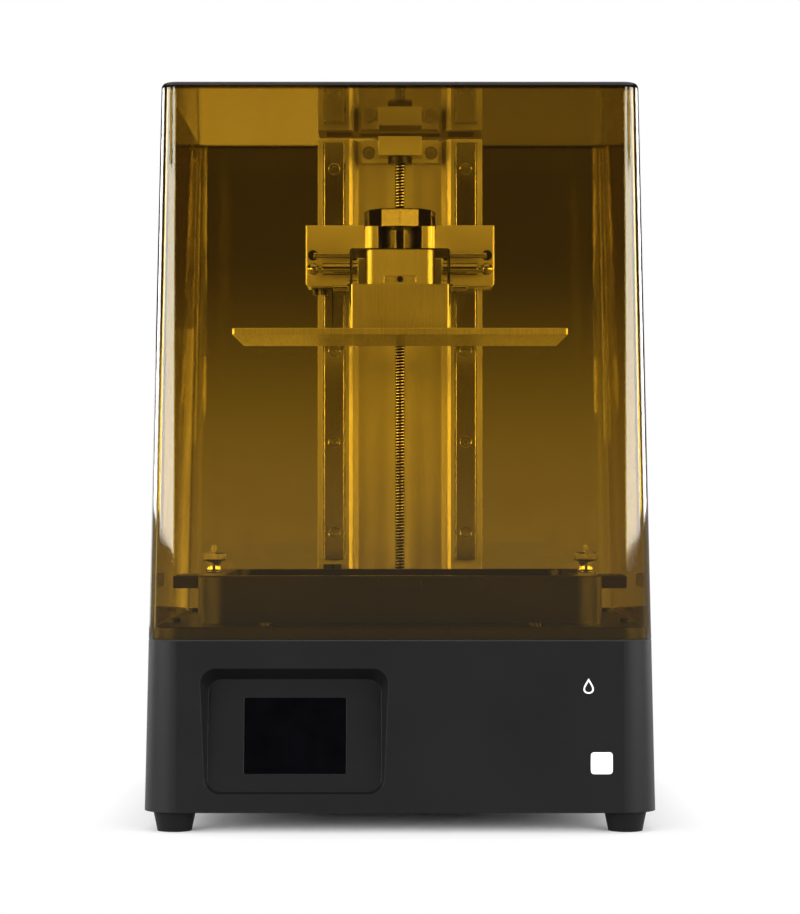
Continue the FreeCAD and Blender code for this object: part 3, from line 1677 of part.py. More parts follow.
def make_platform():
    """The plate that the print hangs from, its block, the post above it and the sheet-metal saddle."""
    middle = ("0", "dim.bed_behind")
    bed = plate(
        "build_plate", "dim.bed_width", "dim.bed_depth", "dim.bed_radius", "dim.bed_low", BED_TOP, *middle
    )
    soften(bed, "Chamfer", "dim.bed_edge", at_height(BED_TOP))
    plate(
        "platform_block",
        "dim.bed_block_width",
        "dim.bed_block_depth",
        "dim.bed_block_corner",
        BED_TOP,
        "dim.bed_block_high",
        *middle,
    )
    post = plate(
        "platform_post",
        "dim.post_width",
        "dim.post_depth",
        "dim.post_edge",
        "dim.bed_block_high",
        "dim.post_high",
        *middle,
    )
    bore = sketch_on(post, lift="dim.post_high")
    circle(bore, "dim.stud_diameter", *middle)
    feature(bore, "Pocket", "dim.stud_depth")
    notch = sketch_on(post, "XZ_Plane", "-(dim.bed_behind - dim.post_depth / 2)")
    rectangle(
        notch,
        ("-dim.notch_width / 2", "dim.notch_width / 2"),
        ("dim.notch_low", "dim.notch_high"),
    )
    feature(notch, "Pocket", "dim.notch_depth")
    seat = "(dim.bed_behind - dim.post_depth / 2 + dim.notch_depth)"
    middle_up = "((dim.notch_low + dim.notch_high) / 2)"
    thread = sketch_on(post, "XZ_Plane", f"-{seat}")
    circle(thread, "dim.post_screw_shank", "0", middle_up)
    feature(thread, "Pocket", "dim.post_screw_length")
    make_saddle()
    stud_low = "(dim.post_high - dim.stud_depth)"
    stud = cylinder(
        "clamp_stud", "dim.stud_diameter", f"dim.stud_high - {stud_low}", *middle, stud_low
    )
    node("clamp_stud", stud)
    screw = socket_screw("post_screw", "dim.post_screw_length")
    group("post_screws", *copies(screw, [("0", seat, middle_up)], FORWARD))


def make_saddle():
    """A bent sheet: a web over the post and a leg down each side of the block."""
    body = new_body("platform_saddle")
    profile = sketch_on(body, "XZ_Plane", "-(dim.bed_behind + dim.saddle_depth / 2)")
    outer = "(dim.bed_block_width / 2 + dim.saddle_thickness)"
    top = "(dim.post_high + dim.saddle_thickness)"
    side = "(dim.bed_block_width / 2)"
    outline(
        profile,
        [
            (f"-{outer}", "dim.saddle_low"),
            (f"-{side}", "dim.saddle_low"),
            (f"-{side}", "dim.post_high"),
            (side, "dim.post_high"),
            (side, "dim.saddle_low"),
            (outer, "dim.saddle_low"),
            (outer, top),
            (f"-{outer}", top),
        ],
    )
    feature(profile, "Pad", "dim.saddle_depth")
    soften(
        body,
        "Fillet",
        "dim.saddle_bend",
        lambda edge: edge.BoundBox.YLength > 10
        and edge.BoundBox.ZMin > size(top) - 0.01
        and abs(edge.BoundBox.XMin) > size(side),
    )
    bore = sketch_on(body, lift=top)
    circle(bore, "dim.stud_diameter + 1", "0", "dim.bed_behind")
    feature(bore, "Pocket", through("dim.saddle_thickness"))


def make_clamp_knob():
    """The fluted knob that clamps the platform on the fork, with its hub down in the fork's slot."""
    body = new_body("clamp_knob")
    middle = ("0", "dim.bed_behind")
    hub = sketch_on(body, lift="dim.hub_low")
    circle(hub, "dim.hub_diameter", *middle)
    feature(hub, "Pad", "(dim.knob_low + dim.knob_high) / 2 - dim.hub_low")
    head = sketch_on(body, lift="dim.knob_low")
    circle(head, "dim.knob_diameter", *middle)
    feature(head, "Pad", "dim.knob_high - dim.knob_low")
    flutes = sketch_on(body, lift="dim.knob_high")
    for i in range(FLUTES):
        angle = math.radians(360 / FLUTES * (i + 0.5))
        x = f"dim.flute_spread * {math.cos(angle):.6f}"
        y = f"dim.bed_behind + dim.flute_spread * {math.sin(angle):.6f}"
        circle(flutes, "dim.flute_diameter", x, y)
    feature(flutes, "Pocket", "dim.knob_high - dim.knob_low")
    soften(body, "Chamfer", "dim.knob_edge", at_height("dim.knob_high"))
    bore = sketch_on(body, lift="dim.hub_low")
    circle(bore, "dim.stud_diameter + 2 * dim.running_fit", *middle)
    feature(bore, "Pocket", "dim.stud_high + dim.stud_gap - dim.hub_low", Reversed=True)


# ---- resin vat -----------------------------------------------------------------------------------------


def film_screw_spots():
    """Screws all round the film's ring, evenly along each side."""
    side = "((dim.ring_width + dim.ring_open_width) / 4)"
    back = "((dim.ring_depth + dim.ring_open_depth) / 4)"
    spots = []
    for j in (-1, 1):
        for step in range(-3, 4):
            spots.append((f"{step} / 3 * ({side} - 6)", f"dim.vat_behind + {j} * {back}"))
        for step in range(-2, 3):
            spots.append((f"{j} * {side}", f"dim.vat_behind + {step} / 2 * ({back} - 9)"))
    return spots


def make_vat():
    """The resin tank: a deep frame with two grips, the clear film across its floor, the ring that
    stretches the film, and the ring's screws."""
    middle = ("0", "dim.vat_behind")
    body = plate(
        "vat_frame",
        "dim.vat_width",
        "dim.vat_depth",
        "dim.vat_radius",
        DECK_TOP,
        "dim.vat_high",
        *middle,
    )
    soften(body, "Chamfer", "dim.vat_edge", at_height("dim.vat_high"))
    grips = sketch_on(body, lift="dim.handle_low")
    for sign in SIDES.values():
        ends = [f"{sign} * (dim.vat_width / 2 - 2)", f"{sign} * dim.handle_outer"]
        rectangle(grips, tuple(ends[::sign]), ("dim.handle_front", "dim.handle_back"))
    feature(grips, "Pad", "dim.handle_high - dim.handle_low")
    tab = sketch_on(body, lift="dim.tab_low")
    front = "(dim.vat_behind - dim.vat_depth / 2)"
    rectangle(
        tab, ("-dim.tab_width / 2", "dim.tab_width / 2"), (f"{front} - dim.tab_reach", f"{front} + 1")
    )
    feature(tab, "Pad", "dim.tab_high - dim.tab_low")
    tank = sketch_on(body, lift="dim.vat_high")
    rounded_rectangle(tank, "dim.tank_width", "dim.tank_depth", "dim.tank_radius", *middle)
    feature(tank, "Pocket", "dim.vat_high")
    seat = sketch_on(body, lift=DECK_TOP)
    rounded_rectangle(
        seat,
        "dim.ring_width + 2 * dim.vat_fit",
        "dim.ring_depth + 2 * dim.vat_fit",
        "dim.ring_radius",
        *middle,
    )
    feature(seat, "Pocket", "dim.ring_thickness + dim.film_thickness", Reversed=True)
    holes = sketch_on(body, lift=FILM_HIGH)
    for x, y in film_screw_spots():
        circle(holes, "dim.film_screw_shank", x, y)
    feature(holes, "Pocket", "dim.film_thread_depth", Reversed=True)
    bores = sketch_on(body, lift="dim.vat_high")
    for sign in SIDES.values():
        circle(bores, "dim.thumb_hole", f"{sign} * dim.thumb_side", "dim.thumb_behind")
    feature(bores, "Pocket", "dim.vat_high")
    make_film(middle)
    original = socket_screw("film_screw", "dim.film_screw_length")
    spots = [(x, y, f"{DECK_TOP} + dim.film_screw_sunk") for x, y in film_screw_spots()]
    group("film_screws", *copies(original, spots, DOWN))


def make_film(middle):
    """The film across the tank's floor and the ring under it, both bored for the ring's screws."""
    film = plate(
        "vat_film", "dim.ring_width", "dim.ring_depth", "dim.ring_radius", FILM_LOW, FILM_HIGH, *middle
    )
    ring = plate(
        "film_ring", "dim.ring_width", "dim.ring_depth", "dim.ring_radius", DECK_TOP, FILM_LOW, *middle
    )
    opening = sketch_on(ring, lift=FILM_LOW)
    rounded_rectangle(
        opening, "dim.ring_open_width", "dim.ring_open_depth", "dim.tank_radius", *middle
    )
    feature(opening, "Pocket", through("dim.ring_thickness"))
    for body, top in ((ring, FILM_LOW), (film, FILM_HIGH)):
        holes = sketch_on(body, lift=top)
        for x, y in film_screw_spots():
            circle(holes, "dim.film_screw_hole", x, y)
        feature(holes, "Pocket", through("dim.ring_thickness"))
    heads = sketch_on(ring, lift=DECK_TOP)
    for x, y in film_screw_spots():
        circle(heads, "dim.film_screw_bore", x, y)
    feature(heads, "Pocket", "dim.film_screw_sunk", Reversed=True)


def make_thumb_screws():
    """The two knurled screws that hold the vat down, and the threaded inserts in the deck."""
    inserts = []
    for name, sign in SIDES.items():
        spot = (f"{sign} * dim.thumb_side", "dim.thumb_behind")
        flange_top = "(dim.vat_high + dim.thumb_flange_height)"
        neck_top = f"({flange_top} + dim.thumb_neck_height)"
        head_top = f"({neck_top} + dim.thumb_head_height)"
        steps = [
            ("shank", "dim.thumb_shank", "dim.thumb_low", "dim.vat_high"),
            ("flange", "dim.thumb_flange", "dim.vat_high", flange_top),
            ("neck", "dim.thumb_neck", flange_top, neck_top),
            ("head", "dim.thumb_head", neck_top, head_top),
            ("tip", "dim.thumb_tip", head_top, f"({head_top} + dim.thumb_tip_height)"),
        ]
        parts = [
            cylinder(f"thumb_{step}_{name}", diameter, f"{high} - {low}", *spot, low)
            for step, diameter, low, high in steps
        ]
        node(f"thumb_screw_{name}", fuse(f"thumb_screw_{name}", *parts))
        height = f"({DECK_TOP} - dim.insert_sunk - dim.insert_low)"
        sleeve = cylinder(
            f"sleeve_{name}", "dim.insert_diameter", height, *spot, "dim.insert_low"
        )
        bore = cylinder(
            f"sleeve_bore_{name}",
            "dim.thumb_shank + 2 * dim.running_fit",
            through(height),
            *spot,
            "dim.insert_low - 1",
        )
        inserts.append(cut(f"insert_{name}", sleeve, bore))
    group("vat_inserts", *inserts)


# ---- electronics and rear panel ----------------------------------------------------------------------


def make_power_supply():
    """The boxed power supply in the rear left corner, with a slotted lid."""
    body = new_body("power_supply")
    plan = sketch_on(body, lift="dim.supply_low")
    rectangle(
        plan,
        ("-dim.supply_outer", "-dim.supply_inner"),
        ("dim.supply_front", "dim.supply_back"),
    )
    feature(plan, "Pad", "dim.supply_high - dim.supply_low")
    slot = sketch_on(body, lift="dim.supply_high")
    centre = "-(dim.supply_outer + dim.supply_inner) / 2"
    width = "dim.supply_slot_width"
    length = "dim.supply_slot_length"
    rounded_rectangle(slot, length, width, f"{width} * 0.45", centre, "dim.supply_slot_front")
    one = feature(slot, "Pocket", "dim.supply_slot_depth")
    repeat([one], "Y_Axis", "dim.vent_step", 6)


def make_mainboard():
    """The controller board with its chips and connectors soldered on."""
    board = box(
        "bare_board",
        ("dim.pcb_inner", "dim.pcb_outer"),
        ("dim.pcb_front", "dim.pcb_back"),
        ("dim.pcb_low", PCB_TOP),
    )
    made = [board]
    for name in CHIPS:
        sides = [
            tuple(f"dim.{name}_{middle} {sign} dim.{name}_{measure} / 2" for sign in "-+")
            for middle, measure in (("x", "width"), ("y", "depth"))
        ]
        made.append(box(name, *sides, (PCB_TOP, f"{PCB_TOP} + dim.{name}_height")))
    node("mainboard", fuse("mainboard", *made))


def make_sockets():
    """The mains inlet, the network socket and the USB socket of the rear panel."""
    inlet = box(
        "inlet_block",
        ("dim.inlet_x - dim.inlet_width / 2", "dim.inlet_x + dim.inlet_width / 2"),
        ("dim.rear_face - dim.inlet_depth", "dim.rear_face - dim.socket_sunk"),
        ("dim.inlet_up - dim.inlet_height / 2", "dim.inlet_up + dim.inlet_height / 2"),
    )
    hollow = box(
        "inlet_hollow",
        ("dim.inlet_x - dim.socket_width / 2", "dim.inlet_x + dim.socket_width / 2"),
        ("dim.rear_face - dim.socket_depth", "dim.rear_face + 1"),
        ("dim.inlet_up - dim.socket_height / 2", "dim.inlet_up + dim.socket_height / 2"),
    )
    pin_spots = [
        (f"dim.inlet_x + {side} * dim.pin_side", f"dim.inlet_up + {rise} * dim.pin_rise")
        for side, rise in ((-1, -1), (0, 1), (1, -1))
    ]
    pins = [
        box(
            f"inlet_pin_{i}",
            (f"{x} - dim.pin_half_width", f"{x} + dim.pin_half_width"),
            ("dim.rear_face - dim.socket_depth", "dim.rear_face - dim.pin_sunk"),
            (f"{z} - dim.pin_half_height", f"{z} + dim.pin_half_height"),
        )
        for i, (x, z) in enumerate(pin_spots, 1)
    ]
    group("mains_inlet", cut("inlet_case", inlet, hollow), *pins)
    lan = box(
        "lan_block",
        ("dim.lan_x - dim.lan_width / 2", "dim.lan_x + dim.lan_width / 2"),
        ("dim.rear_face - dim.lan_depth", "dim.rear_face - dim.port_sunk"),
        (PCB_TOP, f"{PCB_TOP} + dim.lan_height"),
    )
    lan_low = f"{PCB_TOP} + dim.lan_socket_low"
    lan_hollow = box(
        "lan_hollow",
        ("dim.lan_x - dim.lan_socket_width / 2", "dim.lan_x + dim.lan_socket_width / 2"),
        ("dim.rear_face - dim.lan_socket_depth", "dim.rear_face + 1"),
        (lan_low, f"{lan_low} + dim.lan_socket_height"),
    )
    group("data_sockets", cut("lan_case", lan, lan_hollow), usb_socket())


def usb_socket():
    """A sheet-metal shell with its contact tongue."""
    side = "dim.usb_width / 2"
    wall = "dim.usb_wall"
    shell = box(
        "usb_shell",
        (f"dim.usb_x - {side}", f"dim.usb_x + {side}"),
        ("dim.rear_face - dim.usb_depth", "dim.rear_face - dim.port_sunk"),
        (PCB_TOP, f"{PCB_TOP} + dim.usb_height"),
    )
    hollow = box(
        "usb_hollow",
        (f"dim.usb_x - {side} + {wall}", f"dim.usb_x + {side} - {wall}"),
        ("dim.rear_face - dim.usb_depth + dim.usb_floor", "dim.rear_face + 1"),
        (f"{PCB_TOP} + {wall}", f"{PCB_TOP} + dim.usb_height - {wall}"),
    )
    tongue = box(
        "usb_tongue",
        ("dim.usb_x - dim.tongue_half", "dim.usb_x + dim.tongue_half"),
        ("dim.rear_face - dim.usb_depth + 1", "dim.rear_face - dim.tongue_sunk"),
        (f"{PCB_TOP} + dim.tongue_low", f"{PCB_TOP} + dim.tongue_high"),
    )
    return fuse("usb_whole", cut("usb_case", shell, hollow), tongue)


def make_power_switch():
    """The switch: a body set in the rear wall, and the rocker that tips in it about an axis along X."""
    side, rise = "dim.rocker_width / 2", "dim.rocker_height / 2"
    bezel = "dim.rocker_bezel"
    case = box(
        "switch_case",
        (f"dim.rocker_x - {side}", f"dim.rocker_x + {side}"),
        ("dim.rear_face - dim.switch_depth", "dim.rear_face - dim.socket_sunk"),
        (f"dim.inlet_up - {rise}", f"dim.inlet_up + {rise}"),
    )
    well = box(
        "switch_well",
        (f"dim.rocker_x - {side} + {bezel}", f"dim.rocker_x + {side} - {bezel}"),
        ("dim.rear_face - dim.switch_well", "dim.rear_face + 1"),
        (f"dim.inlet_up - {rise} + {bezel}", f"dim.inlet_up + {rise} - {bezel}"),
    )
    node("switch_body", cut("switch_body", case, well))
    body = new_body("power_rocker")
    lift = f"dim.rocker_x - {side} + {bezel} + dim.rocker_play"
    profile = sketch_on(body, "YZ_Plane", lift)
    root, face = "dim.rocker_pivot - dim.rocker_root", "dim.rocker_pivot + dim.rocker_face"
    behind, dip = "dim.rocker_pivot + dim.rocker_back", "dim.rocker_pivot + dim.rocker_dip"
    outline(
        profile,
        [
            (root, "dim.inlet_up - dim.rocker_root_half"),
            (behind, "dim.inlet_up - dim.rocker_reach"),
            (face, "dim.inlet_up - dim.rocker_reach"),
            (dip, "dim.inlet_up"),
            (face, "dim.inlet_up + dim.rocker_reach"),
            (behind, "dim.inlet_up + dim.rocker_reach"),
            (root, "dim.inlet_up + dim.rocker_root_half"),
        ],
    )
    feature(profile, "Pad", f"dim.rocker_width - 2 * {bezel} - 2 * dim.rocker_play")
    pivot = Vector(0, size("dim.rocker_pivot"), size("dim.inlet_up"))
    body.Placement = Placement(Vector(), Rotation(Vector(1, 0, 0), size("dim.rocker_tip")), pivot)


def make_fan():
    """The square fan frame behind the grille, and the seven-bladed wheel that turns in it."""
    front = "(dim.fan_back - dim.fan_depth)"
    body = new_body("fan_frame")
    face = sketch_on(body, "XZ_Plane", f"-{front}")
    rounded_rectangle(face, "dim.fan_side", "dim.fan_side", "dim.fan_corner", "0", "dim.fan_up")
    circle(face, "dim.fan_bore", "0", "dim.fan_up")
    feature(face, "Pad", "dim.fan_depth", Reversed=True)
    arms = sketch_on(body, "XZ_Plane", f"-{front}")
    half = "dim.fan_bore / 2 + 1"
    rectangle(
        arms, (f"-({half})", half), ("dim.fan_up - dim.spoke_half", "dim.fan_up + dim.spoke_half")
    )
    feature(arms, "Pad", "dim.spoke_depth", Reversed=True)
    hub = sketch_on(body, "XZ_Plane", f"-{front}")
    circle(hub, "dim.fan_hub", "0", "dim.fan_up")
    feature(hub, "Pad", "dim.spoke_depth", Reversed=True)
    root = "(dim.fan_hub / 2 - dim.blade_overlap)"
    wheel = [
        cylinder(
            "fan_hub",
            "dim.fan_hub",
            "dim.wheel_depth",
            "0",
            f"{front} + dim.wheel_front",
            "dim.fan_up",
            BACKWARD,
        )
    ]
    for i in range(BLADES):
        blade = bind(
            doc.addObject("Part::Box", f"blade_{i}"),
            Length=f"dim.fan_wheel / 2 - {root}",
            Width="dim.blade_thickness",
            Height="dim.blade_length",
        )
        pitch = Rotation(Vector(1, 0, 0), size("dim.blade_turn") - 90)
        spin = Rotation(Vector(0, 1, 0), 360 / BLADES * i)
        outward = spin.multVec(Vector(1, 0, 0))
        blade.Placement = Placement(Vector(), spin.multiply(pitch))
        place(
            blade,
            f"{outward.x:.6f} * {root}",
            f"{front} + dim.blade_front",
            f"dim.fan_up + {outward.z:.6f} * {root}",
        )
        wheel.append(blade)
    node("fan_wheel", fuse("fan_wheel", *wheel))


# ---- cables held inside the base ------------------------------------------------------------------------


def cable(label, points, diameter):
    """A round cable along straight runs joined by arcs as large as the runs allow."""
    route = [Vector(*point) for point in points]
    edges = []
    start = route[0]
    for before, corner, after in zip(route, route[1:], route[2:]):
        inward = (before - corner).normalize()
        outward = (after - corner).normalize()
        half_turn = (math.pi - inward.getAngle(outward)) / 2
        shorter = min((before - corner).Length, (after - corner).Length)
        trim = 0.45 * shorter
        radius = trim / math.tan(half_turn)
        entry, leave = corner + inward * trim, corner + outward * trim
        bisector = (inward + outward).normalize()
        middle = corner + bisector * (radius / math.cos(half_turn) - radius)
        edges.append(Part.LineSegment(start, entry).toShape())
        edges.append(Part.Arc(entry, middle, leave).toShape())
        start = leave
    edges.append(Part.LineSegment(start, route[-1]).toShape())
    spine = Part.Wire(edges)
    section = Part.Wire(Part.makeCircle(diameter / 2, route[0], route[1] - route[0]))
    made = doc.addObject("Part::Feature", label)
    made.Shape = spine.makePipeShell([section], True, False)
    expected = math.pi * diameter**2 / 4 * spine.Length
    if abs(made.Shape.Volume / expected - 1) > 0.02:
        raise ValueError(f"{label} has the wrong volume")
    made.Placement = Placement()
    return made


def make_cables():
    """The motor's lead, the screen's lead and the mains lead to the power supply."""
    thickness = size("dim.signal_cable")
    motor_x = size("dim.motor_side / 2 + dim.motor_plug_reach")
    motor_low = size("dim.chassis_low - dim.motor_length")
    motor_z = motor_low + size("(dim.motor_plug_low + dim.motor_plug_high) / 2")
    behind = size("dim.screw_behind")
    plug_side = size("dim.motor_plug_x - dim.motor_plug_width / 2")
    plug_up = size(f"{PCB_TOP} + dim.motor_plug_height / 2")
    motor_cable = cable(
        "motor_cable",
        [
            (motor_x, behind, motor_z),
            (45, behind, motor_z),
            (58, behind, 46),
            (66, behind, plug_up),
            (plug_side, behind, plug_up),
        ],
        thickness,
    )
    tilt = math.radians(size("dim.floor_tilt"))
    along = Vector(0, math.sin(tilt), math.cos(tilt))
    inward = Vector(0, math.cos(tilt), -math.sin(tilt))
    foot = Vector(size("dim.window_centre"), -size("dim.floor_front"), size("dim.floor_low"))
    plug = foot + along * size("dim.window_up - dim.module_plug")
    module_back = plug + inward * size("dim.tray_wall + dim.module_depth")
    screen_plug_x = size("dim.screen_plug_x")
    screen_plug_up = size(f"{PCB_TOP} + dim.screen_plug_height / 2")
    screen_cable = cable(
        "screen_cable",
        [
            module_back,
            module_back + inward * 11,
            (-55, -108, 32),
            (-34, -97, 22),
            (-2, -84, 19),
            (38, -66, 21),
            (74, -36, 19),
            (98, -4, 21),
            (screen_plug_x, 20, screen_plug_up),
            (screen_plug_x, size("dim.screen_plug_y - dim.screen_plug_depth / 2"), screen_plug_up),
        ],
        thickness,
    )
    inlet_x = size("dim.inlet_x")
    inlet_up = size("dim.inlet_up")
    inlet_back = size("dim.rear_face - dim.inlet_depth")
    mains_lead = cable(
        "mains_lead",
        [
            (inlet_x, inlet_back, inlet_up),
            (inlet_x, 100, inlet_up),
            (inlet_x, 100, size("dim.supply_high")),
        ],
        size("dim.mains_cable"),
    )
    group("inner_cables", motor_cable, screen_cable, mains_lead)


# ---- checks and export ------------------------------------------------------------------------------------


def check_and_export():
    """Stops on any failed object or bad shape, then writes each sub-part to its own STEP file."""
    doc.recompute()
    for thing in doc.Objects:
        if "Invalid" in thing.State or "Error" in thing.State:
            raise ValueError(f"{thing.Label} failed: {thing.State}")
    for thing in nodes:
        if thing.Shape.isNull() or not thing.Shape.isValid() or not thing.Shape.Solids:
            raise ValueError(f"{thing.Label} has no valid shape")
    os.makedirs("parts", exist_ok=True)
    for thing in nodes:
        thing.Shape.exportStep(f"parts/{thing.Label}.step")
    print(f"{len(nodes)} sub-parts")


fill_sheet()
make_base_housing()
make_base_deck()
make_bottom_plate()
make_feet()
make_hood()
make_hood_seal()
make_touchscreen()
make_light_engine()
make_chassis()
make_posts()
make_column()
make_motor()
make_lead_screw()
make_top_bearing()
make_home_sensor()
make_carriage_plate()
make_carriage_screws()
make_guide_blocks()
make_arm()
make_arm_bars()
make_lead_nut()
make_home_flag()
make_platform()
make_clamp_knob()
make_vat()
make_thumb_screws()
make_power_supply()
make_mainboard()
make_sockets()
make_power_switch()
make_fan()
make_cables()
check_and_export()
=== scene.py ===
import json
import math

import bmesh
import bpy
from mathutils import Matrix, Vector


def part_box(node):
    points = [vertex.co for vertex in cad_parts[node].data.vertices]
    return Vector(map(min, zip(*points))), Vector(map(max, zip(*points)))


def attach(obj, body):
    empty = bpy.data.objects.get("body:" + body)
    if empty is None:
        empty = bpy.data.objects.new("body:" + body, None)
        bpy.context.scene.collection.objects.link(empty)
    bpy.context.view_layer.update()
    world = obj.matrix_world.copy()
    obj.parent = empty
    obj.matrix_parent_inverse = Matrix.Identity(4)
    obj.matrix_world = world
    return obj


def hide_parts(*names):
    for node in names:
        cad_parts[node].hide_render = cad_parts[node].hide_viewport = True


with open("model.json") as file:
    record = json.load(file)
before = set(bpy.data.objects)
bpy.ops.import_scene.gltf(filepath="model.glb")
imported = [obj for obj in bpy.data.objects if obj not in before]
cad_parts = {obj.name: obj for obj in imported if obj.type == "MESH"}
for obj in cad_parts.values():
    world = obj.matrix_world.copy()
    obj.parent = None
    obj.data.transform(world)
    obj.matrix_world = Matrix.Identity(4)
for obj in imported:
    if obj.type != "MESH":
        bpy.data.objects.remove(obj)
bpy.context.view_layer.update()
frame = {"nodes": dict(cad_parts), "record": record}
nodes = frame["nodes"]

MM = 0.001


# ---- material tools ------------------------------------------------------------------------------


class Shader:
    """A node tree that starts with one Principled surface and object coordinates in metres."""

    def __init__(self, name):
        self.material = bpy.data.materials.new(name)
        self.material.use_nodes = True
        self.tree = self.material.node_tree
        self.surface = self.tree.nodes["Principled BSDF"]
        self.output = self.tree.nodes["Material Output"]
        self.coords = self.add("ShaderNodeTexCoord").outputs["Object"]

    def add(self, kind, **values):
        made = self.tree.nodes.new(kind)
        for name, value in values.items():
            setattr(made, name, value)
        return made

    def link(self, source, target):
        self.tree.links.new(source, target)

    def stretched(self, scale):
        """The object coordinates times a factor along each axis."""
        mapping = self.add("ShaderNodeMapping")
        mapping.inputs["Scale"].default_value = scale
        self.link(self.coords, mapping.inputs["Vector"])
        return mapping.outputs["Vector"]

    def from_axis(self, x, y):
        """The distance from a vertical axis."""
        away = self.add("ShaderNodeVectorMath", operation="SUBTRACT")
        self.link(self.coords, away.inputs[0])
        away.inputs[1].default_value = (x, y, 0)
        level = self.add("ShaderNodeVectorMath", operation="MULTIPLY")
        self.link(away.outputs["Vector"], level.inputs[0])
        level.inputs[1].default_value = (1, 1, 0)
        length = self.add("ShaderNodeVectorMath", operation="LENGTH")
        self.link(level.outputs["Vector"], length.inputs[0])
        return length.outputs["Value"]

    def noise(self, scale, detail=3.0, rough=0.55, distortion=0.0):
        """Noise with so many cells to the metre, the same or different along each axis."""
        made = self.add("ShaderNodeTexNoise")
        made.inputs["Scale"].default_value = 1.0 if isinstance(scale, tuple) else scale
        made.inputs["Detail"].default_value = detail
        made.inputs["Roughness"].default_value = rough
        made.inputs["Distortion"].default_value = distortion
        source = self.stretched(scale) if isinstance(scale, tuple) else self.coords
        self.link(source, made.inputs["Vector"])
        return made.outputs["Fac"]

    def span(self, source, low, high, start=0.3, stop=0.7):
        """Maps a value from start..stop to low..high."""
        made = self.add("ShaderNodeMapRange")
        ends = {"From Min": start, "From Max": stop, "To Min": low, "To Max": high}
        for name, value in ends.items():
            made.inputs[name].default_value = value
        self.link(source, made.inputs["Value"])
        return made.outputs["Result"]

    def blend(self, factor, first, second):
        """A colour between two colours or colour sockets."""
        made = self.add("ShaderNodeMix", data_type="RGBA")
        self.link(factor, made.inputs["Factor"])
        for socket, value in (("A", first), ("B", second)):
            target = next(i for i in made.inputs if i.name == socket and i.type == "RGBA")
            if isinstance(value, tuple):
                target.default_value = (*value, 1.0)
            else:
                self.link(value, target)
        return next(o for o in made.outputs if o.type == "RGBA")

    def math(self, operation, first, second):
        made = self.add("ShaderNodeMath", operation=operation)
        for socket, value in zip(made.inputs, (first, second)):
            if isinstance(value, (int, float)):
                socket.default_value = value
            else:
                self.link(value, socket)
        return made.outputs[0]

    def round_edges(self, radius):
        """A normal that rounds sharp edges, and a mask that is 1 on those edges."""
        bevel = self.add("ShaderNodeBevel", samples=4)
        bevel.inputs["Radius"].default_value = radius
        truth = self.add("ShaderNodeNewGeometry").outputs["Normal"]
        dot = self.add("ShaderNodeVectorMath", operation="DOT_PRODUCT")
        self.link(bevel.outputs["Normal"], dot.inputs[0])
        self.link(truth, dot.inputs[1])
        return bevel.outputs["Normal"], self.span(dot.outputs["Value"], 1.0, 0.0, 0.86, 0.995)

    def bump(self, height, distance, normal=None):
        made = self.add("ShaderNodeBump")
        made.inputs["Distance"].default_value = distance
        self.link(height, made.inputs["Height"])
        if normal is not None:
            self.link(normal, made.inputs["Normal"])
        return made.outputs["Normal"]


def lighter(colour, factor):
    return tuple(min(1.0, c * factor) for c in colour)


# painted shade: the near black laid into the roots of a thread, where shade falls between the
# flanks
PAINTED_ROOT_SHADE = (0.012, 0.01, 0.007)


def finish(name, colour, rough, metal=0.0, vary=0.12, patches=18.0, grain=900.0, bump=0.00003,
           edge=0.0004, wear=None, wear_amount=0.5, streak=None, drawn_dark=0.35, root_shade=None,
           **sockets):
    """A surface with patchy colour, uneven roughness, a fine grain and worn edges.

    rough is the range of the roughness and grain the cells of the bump to the metre. streak adds a
    second grain that is drawn out along the machining direction, and drawn_dark its strength.
    root_shade is an upright axis (x, y) and the two radii between which the surface comes clear of
    a dark colour laid round that axis: painted shade in the roots of a thread.
    """
    made = Shader(name)
    surface = made.surface
    surface.inputs["Metallic"].default_value = metal
    for socket, value in sockets.items():
        surface.inputs[socket.replace("_", " ")].default_value = value
    patch = made.noise(patches, 4.0)
    tone = made.blend(
        made.span(patch, 0.0, 1.0), lighter(colour, 1 - vary), lighter(colour, 1 + vary)
    )
    fine = made.noise(grain, 2.0)
    height = fine
    if streak:
        drawn = made.noise(streak, 2.0, 0.6)
        height = made.math("ADD", made.math("MULTIPLY", fine, 0.25), drawn)
        tone = made.blend(made.span(drawn, 0.0, drawn_dark), tone, lighter(colour, 0.5))
    normal, edges = made.round_edges(edge)
    if wear:
        scuffs = made.math("MULTIPLY", edges, made.span(made.noise(160.0, 3.0), 0.2, 1.0))
        tone = made.blend(made.math("MULTIPLY", scuffs, wear_amount), tone, wear)
    # painted shade in the thread's roots, clearing towards the crests
    if root_shade:
        axis, root, crest = root_shade
        tone = made.blend(made.span(made.from_axis(*axis), 0.0, 1.0, root, crest), PAINTED_ROOT_SHADE, tone)
    made.link(tone, surface.inputs["Base Color"])
    uneven = made.math(
        "ADD", made.math("MULTIPLY", patch, 0.5), made.math("MULTIPLY", height, 0.5)
    )
    made.link(made.span(uneven, *rough), surface.inputs["Roughness"])
    made.link(made.bump(height, bump, normal), surface.inputs["Normal"])
    return made.material


